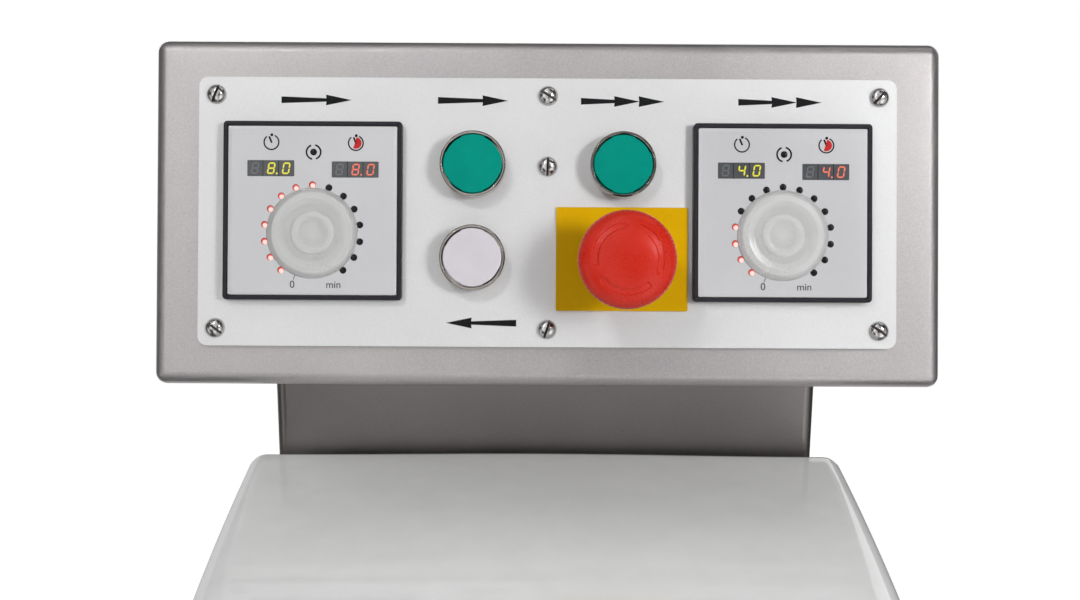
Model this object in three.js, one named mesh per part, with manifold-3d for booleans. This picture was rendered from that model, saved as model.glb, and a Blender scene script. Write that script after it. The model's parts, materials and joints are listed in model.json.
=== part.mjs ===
// A floor-standing spiral dough mixer: a sheet-steel stand with a head over a turning bowl, a spiral tool,
// a breaker bar, a hinged bowl guard, two belt drives, and a tilted stainless console on a neck behind the
// hood. Millimetres, +Z up, and the operator stands on the -Y side. While it is being built, x = 0 is the
// centre plane and y = 0 the bowl's axis. The last lines put the origin on the floor under the middle of
// the machine's box.
import * as THREE from "three";
import { mergeVertices } from "three/addons/utils/BufferGeometryUtils.js";
import Module from "manifold-3d";

const wasm = await Module();
wasm.setup();

// ---- Clearances and sheets ----
const seat = 0.3; // between two faces that rest on each other
const runGap = 0.5; // round a shaft or a sliding piece
const past = 1; // how far a cutting tool runs past what it cuts
const sheet = 3; // steel sheet of the stand
const thinSheet = 2; // stainless sheet of the console, neck and rear cover

// ---- Stand ----
const footHeight = 45;
const baseHeight = 355;
const bowlLift = 28;
const headGap = 70; // from the bowl's rim to the head
const headTray = 52;
const columnRoof = 18.7; // from the belt's window to the column's top
const columnDrop = 61.5; // the column's top below the hood's
const columnGap = 16; // between the bowl's rim and the column
const motorRoom = 16.5; // between the spiral motor's flange and the column's sheet, front and back
const hoodSetback = 40; // the hood's rear end behind the column's front
const headReach = 85; // the head's front in front of the bowl's axis
const baseReach = 175;
const pulleySideRoom = 46; // the head's sides beyond the spiral pulley
const baseShoulder = 34; // the base's sides beyond the column's
const headCorner = 55;
const baseCorner = 95;
const rearCorner = 10;
const innerFillet = 40;
const openingInset = 32; // the rear opening inside the column's sides and top
const coverMargin = 18; // the rear cover beyond its opening
const slotCount = 6;
const slotPitch = 16;
const slotHeight = 6;
const glandRadius = 12;
const glandThread = 8;
const glandBore = 5;
const glandTail = 14; // the thread's end inside the cover
const glandNut = 19.5; // height of its dome nut
const glandRise = 70; // above the rear cover's lower edge
const footRadius = 26;
const footPad = 14;
const footStem = 6;
const footCollar = 11;
const footInset = 52;

// ---- Hood ----
const hoodWall = 4;
const hoodLip = 10;
const hoodDraft = 10; // how far each side leans in from the lip to the top
const hoodCrown = 1;
const hoodFall = 2.3; // exponent of the top's fall towards the front
const shoulderRear = 8;
const shoulderFront = 32;
const hoodRows = 11;
const shoulderFacets = 4;

// ---- Bowl, spiral tool and breaker bar ----
const bowlRadius = 200;
const bowlHeight = 272;
const bowlWall = 3;
const bowlCorner = 60;
const rimBead = 5;
const bowlPlateRadius = 66; // the spindle's plate under the bowl
const bowlPlate = 9;
const spiralOffset = 95; // the spiral's axis behind the bowl's
const spiralWallGap = 12;
const spiralFloorGap = 9;
const spiralBar = 11;
const spiralTurns = 1.3;
const spiralStart = 56; // where the bar leaves the shaft, below the head
const spiralBoss = 24; // height of the shaft's boss above the bar
const bossWall = 4; // the boss beyond the shaft
const spiralSwing = 0.3; // share of the bar's height over which it swings out
const spiralTuck = 0.35; // share by which its lower end draws in again
const breakerGap = 18; // between the spiral's sweep and the breaker bar
const breakerRadius = 13;
const breakerFloorGap = 14;
const breakerFlangeWidth = 78;
const breakerFlangeDepth = 44;
const breakerFlangeHeight = 7;
const breakerFlangeCorner = 12;
const breakerBoss = 6; // the bar's boss beyond the bar, under the flange
const breakerTip = 5; // the chamfer round its lower end

// ---- Drives ----
const bowlShaft = 16;
const spiralShaft = 17.5;
const motorShaft = 12;
const bearingWall = 14;
const bearingFlange = 20; // a bearing's flange beyond its body
const bearingNose = 4; // the lower spiral bearing's body below its flange
const flangeThickness = 12;
const bowlBearingDepth = 32; // the bowl's bearing below the base's top
const bowlPulleyRadius = 110;
const spiralPulleyRadius = 100;
const motorPulleyRadius = 32;
const pulleyFlange = 3;
const pulleyLip = 3; // a pulley's flanges beyond its running face
const pulleyRim = 14;
const pulleyWeb = 8;
const pulleyHub = 12; // the hub's wall
const pulleyGap = 6; // between a pulley and the bearing beside it
const shelfGap = 12; // between the bowl's pulley and the motor's shelf
const beltWidth = 20;
const beltThickness = 5;
const beltRoom = 10; // round the belt, where it passes a wall
const spiralMotorRadius = 64;
const spiralMotorLength = 210;
const bowlMotorRadius = 52;
const bowlMotorLength = 165;
const motorFlange = 9; // a motor's flange beyond its body
const motorFlangeHeight = 10;
const motorChamfer = 10; // round its lower end
const motorBore = 60;
const shaftDepth = 40; // how far a motor pulley's shaft runs into its motor
const terminalReach = 38; // the terminal box beyond the motor's body
const terminalHeight = 62;
const terminalWidth = 60;
const terminalDrop = 44;

// ---- Bowl guard ----
const guardRod = 4;
const guardTie = 3.2;
const guardTies = 9;
const guardSideGap = 9;
const guardFrontGap = 22;
const guardRimGap = 9;
const guardPivotSetback = 60; // the pivot behind the bowl's axis
const guardArm = 40; // how far forward each arm slopes down, and how far down
const guardArmDrop = 12;
const guardRailDrop = 30; // the rail below the pivot
const guardPin = 6;
const pinHead = 4; // the pin's head beyond its shank
const pinTail = 8; // how far the pin runs into the head
const pinHeadHeight = 4;
const pinDome = 1;
const eyeRadius = 13;
const eyeThickness = 7;

// ---- Console, in its own tilted frame: x right, y up the panel, z out towards the operator ----
const consoleTilt = 15;
const consoleLift = 45.84; // its lower front edge above the hood's top
const consoleLead = 48.885; // its lower front edge in front of the neck
const consoleTail = 4.3; // its underside behind the neck
const consoleSide = 19; // its sides beyond the face plate's
const consoleRim = 16.4; // its top and bottom beyond the face plate's
const consoleBend = 4;
const coverLip = 4;
const neckInset = 21.6; // the neck's sides inside the column's
const neckDepth = 40;
const neckCorner = 5;
const neckSlotInset = 15;
const plateThickness = 2.5;
const plateCorner = 4;
const timerEdge = 11.55; // from the face plate's sides to the timers
const timerRim = 19.5; // from its top and bottom to the timers
const windowRoom = 3; // round the cases and blocks that pass the housing's windows
const middleStrip = 22; // the housing's strip between the windows
const screwEdge = 7.5;
const screwRadius = 2;
const screwRim = 1.95; // the head beyond the shank
const screwHeadHeight = 2.8;
const screwLength = 12;
const screwSlot = 1;
const middleScrewHeight = 19.6;

// ---- Timers ----
const timerFrame = 75.4;
const timerBorder = 1.8;
const timerProud = 5.5;
const timerFlange = 4; // the frame beyond the case
const timerCaseDepth = 62;
const paneThickness = 3.6;
const paneRecess = 0.4;
const dialDrop = 9.6; // the dial's axis below the timer's middle
const dialRadius = 19.2;
const dialHeight = 3;
const dialSkirt = 1.2;
const dialShoulder = 0.8; // its rounded edge below its rim
const dialDish = 1.2; // the finger dish below its rim
const dialWell = 1; // and the well in the middle
const dialStem = 3;
const dialStemLength = 10;

// ---- Push buttons and emergency stop ----
const buttonRise = 19.7; // from the middle to each row of buttons
const buttonHole = 11.2;
const ringOverlap = 2.6; // the ring beyond its hole
const ringProud = 10;
const ringLip = 1.3;
const ringFloor = 1.2;
const capStem = 7;
const capRecess = 0.5;
const buttonTravel = 4;
const sleeveLength = 14;
const blockWidth = 28;
const blockHeight = 34;
const blockDepth = 38;
const labelWidth = 55.9;
const labelHeight = 44;
const labelThickness = 1;
const labelCorner = 0.5;
const labelGap = 1.95; // from the label to the timer
const labelSpacing = 3.7; // from the middle to the label
const stopDrop = 2.1; // the switch's axis below the label's middle
const stopRadius = 20;
const stopHeadHeight = 17;
const stopProud = 46; // the mushroom's crown above the face plate
const stopStem = 8;
const stopSpigot = 5;
const spigotDepth = 6; // the spigot's end below the crown
const stopTravel = 5;
const collarOverlap = 3.8; // the collar beyond its hole
const collarHeight = 15;

// ---- Control loom ----
const loomRadius = 7;
const loomHole = 11;
const loomInset = 4; // towards the middle from the timer's axis

// ---- Levels and lines that follow from the sizes above ----
const baseTop = footHeight + baseHeight;
const bowlFloor = baseTop + bowlLift;
const bowlRim = bowlFloor + bowlHeight;
const headBottom = bowlRim + headGap;
const deck = headBottom + headTray;
const pulleyHeight = beltWidth + 2 * (pulleyFlange + runGap);
const bowlPulleyBase = baseTop - bowlBearingDepth - pulleyGap - pulleyHeight;
const shelfTop = bowlPulleyBase - shelfGap;
const spiralPulleyBase = deck + seat + flangeThickness + 2 * pulleyGap;
const spiralMotorTop = deck - sheet - seat;
const bowlMotorTop = shelfTop - sheet - seat;
const beltWindowTop = spiralPulleyBase + pulleyHeight + beltRoom;
const columnTop = beltWindowTop + columnRoof;
const hoodTop = columnTop + columnDrop;
const hoodHeight = hoodTop - deck;

const rimRadius = bowlRadius + rimBead;
const columnFront = rimRadius + columnGap;
const motorY = columnFront + sheet + motorRoom + motorFlange + spiralMotorRadius;
const columnBack = 2 * motorY - columnFront;
const hoodRear = columnFront + hoodSetback;
const headFront = -headReach;
const baseFront = -baseReach;
const spiralReach = bowlRadius - bowlWall - spiralOffset - spiralWallGap;
const breakerY = spiralOffset - spiralReach - breakerGap - breakerRadius;
const neckFront = hoodRear + 2 * seat;
const loomY = neckFront + neckDepth / 2;

const headWidth = 2 * (spiralPulleyRadius + pulleySideRoom);
const baseWidth = headWidth + 2 * baseShoulder;
const neckWidth = headWidth - 2 * neckInset;
const beltSlot = (spiralPulleyRadius + motorPulleyRadius) / 2 + beltThickness + beltRoom; // half the window
const openingHalf = headWidth / 2 - openingInset;
const openingLow = footHeight + openingInset;
const openingHigh = columnTop - openingInset;
const guardPivotZ = headBottom + headTray / 2;

const buttonSide = labelSpacing + labelWidth / 2; // from the middle to each column of buttons
const timerSpacing = buttonSide + labelWidth / 2 + labelGap + timerFrame / 2; // middle to each timer
const timerCase = timerFrame - 2 * timerFlange;
const plateWidth = 2 * (timerSpacing + timerFrame / 2 + timerEdge);
const plateHeight = timerFrame + 2 * timerRim;
const faceZ = seat + plateThickness; // the face plate's front in the console's frame
const consoleWidth = plateWidth + 2 * consoleSide;
const consoleHeight = plateHeight + 2 * consoleRim;
const tilt = THREE.MathUtils.degToRad(consoleTilt);
const consoleDepth = (consoleLead + neckDepth) / Math.cos(tilt) + consoleTail;
const loomX = timerSpacing - loomInset;

// ---- Geometry helpers: each returns a closed solid made from three.js geometry ----
function solid(geometry) {
  const bare = new THREE.BufferGeometry().setAttribute("position", geometry.getAttribute("position"));
  if (geometry.index) bare.setIndex(geometry.index);
  const merged = mergeVertices(bare, 1e-4);
  const corners = merged.index.array;
  const kept = [];
  for (let i = 0; i < corners.length; i += 3) {
    const [a, b, c] = [corners[i], corners[i + 1], corners[i + 2]];
    if (a !== b && b !== c && a !== c) kept.push(a, b, c);
  }
  const build = (triangles) =>
    new wasm.Manifold(
      new wasm.Mesh({
        numProp: 3,
        vertProperties: merged.attributes.position.array,
        triVerts: new Uint32Array(triangles),
      }),
    );
  const made = build(kept);
  if (made.volume() >= 0) return made;
  return build(kept.reverse()); // a clockwise profile came out inside out
}

function geometryOf(made) {
  const mesh = made.getMesh();
  const geometry = new THREE.BufferGeometry();
  geometry.setAttribute("position", new THREE.BufferAttribute(mesh.vertProperties, 3));
  geometry.setIndex(new THREE.BufferAttribute(mesh.triVerts, 1));
  geometry.computeVertexNormals();
  return geometry;
}

const vec = (x, y, z) => new THREE.Vector3(x, y, z);
const cut = (body, ...tools) => tools.reduce((left, tool) => left.subtract(tool), body);
const join = (body, ...more) => more.reduce((sum, piece) => sum.add(piece), body);

function block(x0, x1, y0, y1, z0, z1) {
  const box = new THREE.BoxGeometry(x1 - x0, y1 - y0, z1 - z0);
  return solid(box.translate((x0 + x1) / 2, (y0 + y1) / 2, (z0 + z1) / 2));
}

// A block centred on a point of the plane, from z0 up to z1.
function post(width, depth, z0, z1, x = 0, y = 0) {
  return block(x - width / 2, x + width / 2, y - depth / 2, y + depth / 2, z0, z1);
}

function rod(radius, z0, z1, x = 0, y = 0, facets = 20) {
  const cylinder = new THREE.CylinderGeometry(radius, radius, z1 - z0, facets);
  return solid(cylinder.rotateX(Math.PI / 2).translate(x, y, (z0 + z1) / 2));
}

// A rod across the machine, along X.
function crossRod(radius, x0, x1, y, z, facets = 16) {
  const cylinder = new THREE.CylinderGeometry(radius, radius, x1 - x0, facets);
  return solid(cylinder.rotateZ(Math.PI / 2).translate((x0 + x1) / 2, y, z));
}

// Turns a profile of [radius, height] pairs about a vertical axis. The profile starts and ends on the
// axis, or closes on itself.
function turned(profile, x = 0, y = 0, facets = 20) {
  const points = profile.map(([r, z]) => new THREE.Vector2(r, z));
  return solid(new THREE.LatheGeometry(points, facets).rotateX(Math.PI / 2).translate(x, y, 0));
}

function roundedRect(width, height, corner, x = 0, y = 0) {
  const [left, right, low, high] = [x - width / 2, x + width / 2, y - height / 2, y + height / 2];
  const shape = new THREE.Shape();
  shape.moveTo(left + corner, low);
  shape.lineTo(right - corner, low);
  shape.absarc(right - corner, low + corner, corner, -Math.PI / 2, 0);
  shape.lineTo(right, high - corner);
  shape.absarc(right - corner, high - corner, corner, 0, Math.PI / 2);
  shape.lineTo(left + corner, high);
  shape.absarc(left + corner, high - corner, corner, Math.PI / 2, Math.PI);
  shape.lineTo(left, low + corner);
  shape.absarc(left + corner, low + corner, corner, Math.PI, 1.5 * Math.PI);
  return shape;
}

// Extrudes a shape in the plane up from z0 to z1.
function raised(shape, z0, z1, curveSegments = 2) {
  const extruded = new THREE.ExtrudeGeometry(shape, { depth: z1 - z0, bevelEnabled: false, curveSegments });
  return solid(extruded.translate(0, 0, z0));
}

// Extrudes a side profile, drawn with y to the right and z up, across the machine from x0 to x1.
function across(shape, x0, x1, curveSegments = 3) {
  const extruded = new THREE.ExtrudeGeometry(shape, { depth: x1 - x0, bevelEnabled: false, curveSegments });
  const turn = new THREE.Matrix4().makeBasis(vec(0, 1, 0), vec(0, 0, 1), vec(1, 0, 0));
  return solid(extruded.applyMatrix4(turn).translate(x0, 0, 0));
}

function tube(points, radius, sides, steps) {
  const section = new THREE.Shape();
  section.absarc(0, 0, radius, 0, 2 * Math.PI);
  const path = new THREE.CatmullRomCurve3(points);
  const options = { steps, curveSegments: sides / 2, bevelEnabled: false, extrudePath: path };
  return solid(new THREE.ExtrudeGeometry(section, options));
}

// ---- Finishes ----
function paint(color, roughness, metalness) {
  return () => new THREE.MeshStandardMaterial({ color, roughness, metalness });
}
const paintedSteel = paint("#c9cac9", 0.42, 0);
const gelcoat = paint("#bdbebd", 0.12, 0);
const satinSteel = paint("#b4b2b1", 0.45, 0.9);
const polishedSteel = paint("#cfcfcf", 0.2, 1);
const chrome = paint("#d8d8da", 0.08, 1);
const anodised = paint("#dadada", 0.4, 0.6);
const castIron = paint("#55585c", 0.7, 0.4);
const motorEnamel = paint("#4f6a7a", 0.5, 0.2);
const rubber = paint("#1d1d1e", 0.85, 0);
const blackPlastic = paint("#222226", 0.45, 0);
const paneFilm = paint("#c9c9cc", 0.1, 0);
const dialPlastic = paint("#c2c2c2", 0.35, 0);
const greenPlastic = paint("#00907f", 0.35, 0);
const whitePlastic = paint("#d6d2d8", 0.35, 0);
const redPlastic = paint("#c4301f", 0.4, 0);
const yellowPlastic = paint("#d3a300", 0.5, 0);

const machine = new THREE.Group();

function add(parent, name, made, finish) {
  const mesh = new THREE.Mesh(geometryOf(made), finish());
  mesh.name = name;
  parent.add(mesh);
}

// ---- Stand: base, column and head tray in one welded sheet body ----
const feet = [-1, 1].flatMap((side) =>
  [baseFront + footInset, columnBack - footInset].map((y) => [side * (baseWidth / 2 - footInset), y]),
);

// The head or the base from above, drawn in by the inset: large corners at the front, small at the rear.
function plan(width, forward, corner, inset) {
  const half = width / 2 - inset;
  const front = forward + inset;
  const back = columnBack - inset;
  const bend = corner - inset;
  const small = rearCorner - inset;
  const shape = new THREE.Shape();
  shape.moveTo(-half + bend, front);
  shape.lineTo(half - bend, front);
  shape.absarc(half - bend, front + bend, bend, -Math.PI / 2, 0);
  shape.lineTo(half, back - small);
  shape.absarc(half - small, back - small, small, 0, Math.PI / 2);
  shape.lineTo(-half + small, back);
  shape.absarc(-half + small, back - small, small, Math.PI / 2, Math.PI);
  shape.lineTo(-half, front + bend);
  shape.absarc(-half + bend, front + bend, bend, Math.PI, 1.5 * Math.PI);
  return shape;
}

// Column and head tray from the side, drawn in by the inset; the column's foot reaches down into the base.
function columnProfile(inset) {
  const low = baseTop - 2 * sheet;
  const [filletY, filletZ] = [columnFront - innerFillet, headBottom - innerFillet];
  const shape = new THREE.Shape();
  shape.moveTo(columnFront + inset, low);
  shape.lineTo(columnBack - inset, low);
  shape.lineTo(columnBack - inset, columnTop - inset);
  shape.lineTo(hoodRear + inset, columnTop - inset);
  shape.lineTo(hoodRear + inset, deck - inset);
  shape.lineTo(headFront + inset, deck - inset);
  shape.lineTo(headFront + inset, headBottom + inset);
  shape.lineTo(filletY, headBottom + inset);
  shape.absarc(filletY, filletZ, innerFillet + inset, Math.PI / 2, 0, true);
  return shape;
}

function upperBody(inset) {
  const half = headWidth / 2 - inset;
  const seenFromAbove = raised(plan(headWidth, headFront, headCorner, inset), 0, hoodTop, 3);
  return across(columnProfile(inset), -half, half).intersect(seenFromAbove);
}

function baseBody(inset) {
  return raised(plan(baseWidth, baseFront, baseCorner, inset), footHeight + inset, baseTop - inset, 4);
}

function mainFrame() {
  const half = headWidth / 2;
  const grip = sheet / 2; // how far an inner plate runs into the walls
  const shell = cut(join(upperBody(0), baseBody(0)), upperBody(sheet), baseBody(sheet));
  const deckPlate = block(-half + grip, half - grip, hoodRear, columnBack - grip, deck - sheet, deck);
  const shelfHalf = baseWidth / 2 - grip;
  const shelfFront = columnFront + 4 * sheet;
  const shelf = block(-shelfHalf, shelfHalf, shelfFront, columnBack - grip, shelfTop - sheet, shelfTop);
  const throughSheet = (radius, top, x, y, facets) =>
    rod(radius, top - sheet - past, top + past, x, y, facets);
  const motorHole = motorShaft + 6;
  const spiralHole = spiralShaft + bearingWall + runGap;
  const bowlHole = bowlShaft + bearingWall + runGap;
  const window = block(-beltSlot, beltSlot, hoodRear - past, hoodRear + sheet + past,
    spiralPulleyBase - beltRoom, beltWindowTop);
  const opening = block(-openingHalf, openingHalf, columnBack - sheet - past, columnBack + past,
    openingLow, openingHigh);
  const holes = [
    rod(spiralHole, headBottom - past, deck + past, 0, spiralOffset),
    throughSheet(motorHole, deck, 0, motorY),
    throughSheet(motorHole, shelfTop, 0, motorY),
    throughSheet(bowlHole, baseTop, 0, 0),
    throughSheet(loomHole, deck, loomX, loomY, 16),
    throughSheet(loomHole, columnTop, loomX, loomY, 16),
    crossRod(guardPin + seat, -half - past, half + past, guardPivotSetback, guardPivotZ),
    ...feet.map(([x, y]) => throughSheet(footStem + seat, footHeight + sheet, x, y, 16)),
  ];
  return cut(join(shell, deckPlate, shelf), window, opening, ...holes);
}
add(machine, "main_frame", mainFrame(), paintedSteel);

// ---- Rear cover with cooling slots, and the mains gland ----
const coverLow = openingLow - coverMargin;
const coverHigh = openingHigh + coverMargin;
const coverBack = columnBack + seat + thinSheet;
const glandX = openingHalf / 2;
const glandZ = coverLow + glandRise;

function rearCover() {
  const half = openingHalf + coverMargin;
  const slotHalf = openingHalf * 0.6;
  const slotLow = spiralMotorTop - spiralMotorLength / 2;
  const plate = block(-half, half, columnBack + seat, coverBack, coverLow, coverHigh);
  const slots = Array.from({ length: slotCount }, (_, i) => {
    const z = slotLow + i * slotPitch;
    return block(-slotHalf, slotHalf, columnBack, coverBack + past, z, z + slotHeight);
  });
  const hole = rod(glandThread + seat, -past - thinSheet, past, 0, 0, 16);
  return cut(plate, ...slots, hole.rotate([-90, 0, 0]).translate([glandX, coverBack, glandZ]));
}

function mainsGland() {
  const dome = (glandRadius - glandBore) / 2;
  const profile = [
    [glandBore, -glandTail],
    [glandThread, -glandTail],
    [glandThread, seat],
    [glandRadius, seat],
    [glandRadius, glandNut / 2],
    [glandRadius * 0.85, glandNut / 2 + 1],
    [glandRadius * 0.85, glandNut],
    [glandRadius - dome, glandNut + dome],
    [glandBore, glandNut + dome],
    [glandBore, -glandTail],
  ];
  return turned(profile, 0, 0, 16).rotate([-90, 0, 0]).translate([glandX, coverBack, glandZ]);
}
add(machine, "rear_cover", rearCover(), satinSteel);
add(machine, "mains_gland", mainsGland(), blackPlastic);

// ---- Feet ----
feet.forEach(([x, y], i) => {
  const stemTop = footHeight + 4 * sheet;
  const profile = [
    [0, 0],
    [footRadius, 0],
    [footRadius, footPad * 0.6],
    [footRadius - 5, footPad],
    [footCollar, footPad],
    [footCollar, footHeight - seat],
    [footStem, footHeight - seat],
    [footStem, stemTop],
    [0, stemTop],
  ];
  add(machine, `foot_${i + 1}`, turned(profile, x, y, 16), rubber);
});

// ---- Hood: rounded sections from its rear end to the front lip, drawn in at the plan's front corners ----
function hoodSection(row, inset) {
  const angle = (row / hoodRows) * (Math.PI / 2);
  const share = Math.sin(angle) ** (2 / hoodFall); // of the hood's length
  const rise = Math.cos(angle) ** (2 / hoodFall); // of its height
  const length = hoodRear - headFront - inset;
  const top = hoodLip + (hoodHeight - hoodLip) * rise - inset;
  const bend = headCorner - inset;
  const intoCorner = Math.max(bend - (1 - share) * length, 0);
  const half = headWidth / 2 - inset - bend + Math.sqrt(bend ** 2 - intoCorner ** 2);
  const shoulder = Math.min(shoulderRear + (shoulderFront - shoulderRear) * share, 0.9 * top);
  const lean = (hoodDraft * (top - shoulder)) / hoodHeight;
  const side = [[half, inset ? -sheet : 0]]; // the room inside runs on through the open bottom
  for (let i = 0; i <= shoulderFacets; i++) {
    const turn = (i / shoulderFacets) * (Math.PI / 2);
    side.push([half - lean - shoulder * (1 - Math.cos(turn)), top - shoulder * (1 - Math.sin(turn))]);
  }
  const crown = [0, top + hoodCrown * rise];
  const outline = [...side, crown, ...side.map(([x, z]) => [-x, z]).reverse()];
  return outline.map(([x, z]) => [x, hoodRear - length * share, deck + z]);
}

function hoodBody(inset) {
  const rows = Array.from({ length: hoodRows + 1 }, (_, row) => hoodSection(row, inset));
  const count = rows[0].length;
  const positions = [];
  for (let row = 0; row < hoodRows; row++)
    for (let i = 0; i < count; i++) {
      const next = (i + 1) % count;
      const [a, b, c, d] = [rows[row][i], rows[row][next], rows[row + 1][next], rows[row + 1][i]];
      positions.push(...a, ...b, ...c, ...a, ...c, ...d);
    }
  const [rear, front] = [rows[0], rows[hoodRows]];
  for (let i = 1; i < count - 1; i++) {
    positions.push(...rear[0], ...rear[i + 1], ...rear[i]);
    positions.push(...front[0], ...front[i], ...front[i + 1]);
  }
  const surface = new THREE.BufferGeometry();
  surface.setAttribute("position", new THREE.Float32BufferAttribute(positions, 3));
  return solid(surface);
}

function hood() {
  const high = hoodTop + 2 * hoodCrown;
  const low = deck - 2 * sheet;
  const rearWall = block(-headWidth, headWidth, hoodRear - hoodWall, hoodRear + past, low, high);
  const room = cut(hoodBody(hoodWall), rearWall);
  const window = block(-beltSlot, beltSlot, hoodRear - 2 * hoodWall, hoodRear + past, low, beltWindowTop);
  const underDeck = block(-headWidth, headWidth, headFront - past, hoodRear + past, low, deck + seat);
  const atColumn = block(-headWidth, headWidth, hoodRear - seat, hoodRear + past, low, high);
  return cut(hoodBody(0), room, window, underDeck, atColumn);
}
add(machine, "hood", hood(), gelcoat);

// ---- Bowl, its spindle and its bearing ----
function bowl() {
  const steps = 3;
  const corner = (radius, i) => {
    const turn = -Math.PI / 2 + (i / steps) * (Math.PI / 2);
    const r = bowlRadius - bowlCorner + radius * Math.cos(turn);
    return [r, bowlFloor + bowlCorner + radius * Math.sin(turn)];
  };
  const outside = Array.from({ length: steps + 1 }, (_, i) => corner(bowlCorner, i));
  const inside = Array.from({ length: steps + 1 }, (_, i) => corner(bowlCorner - bowlWall, steps - i));
  const profile = [
    [0, bowlFloor],
    ...outside,
    [bowlRadius, bowlRim - 2 * rimBead],
    [rimRadius, bowlRim - 1.6 * rimBead],
    [rimRadius, bowlRim - rimBead / 2],
    [bowlRadius, bowlRim],
    [bowlRadius - bowlWall, bowlRim],
    ...inside,
    [0, bowlFloor + bowlWall],
  ];
  return turned(profile, 0, 0, 36);
}
add(machine, "bowl", bowl(), polishedSteel);

const bowlBearingTop = baseTop + 2 * seat + flangeThickness;

function bowlSpindle() {
  const end = bowlPulleyBase - shelfGap / 2;
  const neckTop = bowlBearingTop + seat;
  const top = bowlFloor - seat;
  const profile = [
    [0, end],
    [bowlShaft, end],
    [bowlShaft, neckTop],
    [bowlPlateRadius, top - bowlPlate],
    [bowlPlateRadius, top],
    [0, top],
  ];
  return turned(profile);
}
add(machine, "bowl_spindle", bowlSpindle(), polishedSteel);

// A bearing housing round a shaft: a tube from low to high, with a flange whose lower face is at flangeLow.
function bearing(shaft, low, high, flangeLow, y) {
  const bore = shaft + runGap;
  const body = shaft + bearingWall;
  const flange = body + bearingFlange;
  const flangeHigh = flangeLow + flangeThickness;
  const profile = [
    [bore, low],
    [body, low],
    [body, flangeLow],
    [flange, flangeLow],
    [flange, flangeHigh],
    [body, flangeHigh],
    [body, high],
    [bore, high],
    [bore, low],
  ];
  return turned(profile, 0, y);
}
const bowlBearing = bearing(bowlShaft, baseTop - bowlBearingDepth, bowlBearingTop, baseTop + seat, 0);
add(machine, "bowl_bearing", bowlBearing, castIron);

// ---- Belt drives ----
function flangedRim(radius, low) {
  const high = low + pulleyHeight;
  const flange = radius + pulleyLip;
  return [
    [flange, low],
    [flange, low + pulleyFlange],
    [radius, low + pulleyFlange],
    [radius, high - pulleyFlange],
    [flange, high - pulleyFlange],
    [flange, high],
  ];
}

// A large pulley on a shaft: rim, web and hub.
function pulley(radius, shaft, low, y) {
  const high = low + pulleyHeight;
  const bore = shaft + seat;
  const hub = bore + pulleyHub;
  const rim = radius - pulleyRim;
  const webLow = low + (pulleyHeight - pulleyWeb) / 2;
  const webHigh = webLow + pulleyWeb;
  const profile = [
    [bore, low],
    [hub, low],
    [hub, webLow],
    [rim, webLow],
    [rim, low],
    ...flangedRim(radius, low),
    [rim, high],
    [rim, webHigh],
    [hub, webHigh],
    [hub, high],
    [bore, high],
    [bore, low],
  ];
  return turned(profile, 0, y);
}

// A motor's pulley with the shaft that it turns on.
function motorPulley(low, motorTop) {
  const end = motorTop - shaftDepth;
  const profile = [
    [0, end],
    [motorShaft, end],
    [motorShaft, low],
    ...flangedRim(motorPulleyRadius, low),
    [0, low + pulleyHeight],
  ];
  return turned(profile, 0, motorY);
}

// A belt round a large pulley at y and the motor's pulley behind it, with a gap to both.
function belt(radius, y, low) {
  const lean = Math.asin((radius - motorPulleyRadius) / (motorY - y));
  const loop = (path, grow) => {
    path.absarc(0, motorY, motorPulleyRadius + grow, lean, Math.PI - lean);
    path.absarc(0, y, radius + grow, Math.PI - lean, 2 * Math.PI + lean);
    return path;
  };
  const gap = 2 * runGap; // its facets come nearer to the pulley than its corners
  const shape = loop(new THREE.Shape(), gap + beltThickness);
  shape.holes.push(loop(new THREE.Path(), gap));
  const bottom = low + pulleyFlange + runGap;
  return raised(shape, bottom, bottom + beltWidth, 8);
}

// A flange motor hanging under a plate, with a bore for its pulley's shaft and a terminal box on its side.
function motor(radius, length, top) {
  const bore = motorShaft + runGap;
  const bottom = top - length;
  const profile = [
    [0, top - motorBore],
    [bore, top - motorBore],
    [bore, top],
    [radius + motorFlange, top],
    [radius + motorFlange, top - motorFlangeHeight],
    [radius, top - motorFlangeHeight],
    [radius, bottom + motorChamfer],
    [radius - motorChamfer, bottom],
    [0, bottom],
  ];
  const boxTop = top - terminalDrop;
  const [y0, y1] = [motorY - terminalWidth / 2, motorY + terminalWidth / 2];
  const box = block(radius - 8, radius + terminalReach, y0, y1, boxTop - terminalHeight, boxTop);
  return join(turned(profile, 0, motorY), box);
}

add(machine, "bowl_pulley", pulley(bowlPulleyRadius, bowlShaft, bowlPulleyBase, 0), castIron);
add(machine, "bowl_belt", belt(bowlPulleyRadius, 0, bowlPulleyBase), rubber);
add(machine, "bowl_motor", motor(bowlMotorRadius, bowlMotorLength, bowlMotorTop), motorEnamel);
add(machine, "bowl_motor_pulley", motorPulley(bowlPulleyBase, bowlMotorTop), castIron);
const spiralPulley = pulley(spiralPulleyRadius, spiralShaft, spiralPulleyBase, spiralOffset);
add(machine, "spiral_pulley", spiralPulley, castIron);
add(machine, "spiral_belt", belt(spiralPulleyRadius, spiralOffset, spiralPulleyBase), rubber);
add(machine, "spiral_motor", motor(spiralMotorRadius, spiralMotorLength, spiralMotorTop), motorEnamel);
add(machine, "spiral_motor_pulley", motorPulley(spiralPulleyBase, spiralMotorTop), castIron);

// ---- Spiral tool on its two bearings, and the breaker bar ----
const barTop = headBottom - spiralStart;

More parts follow.
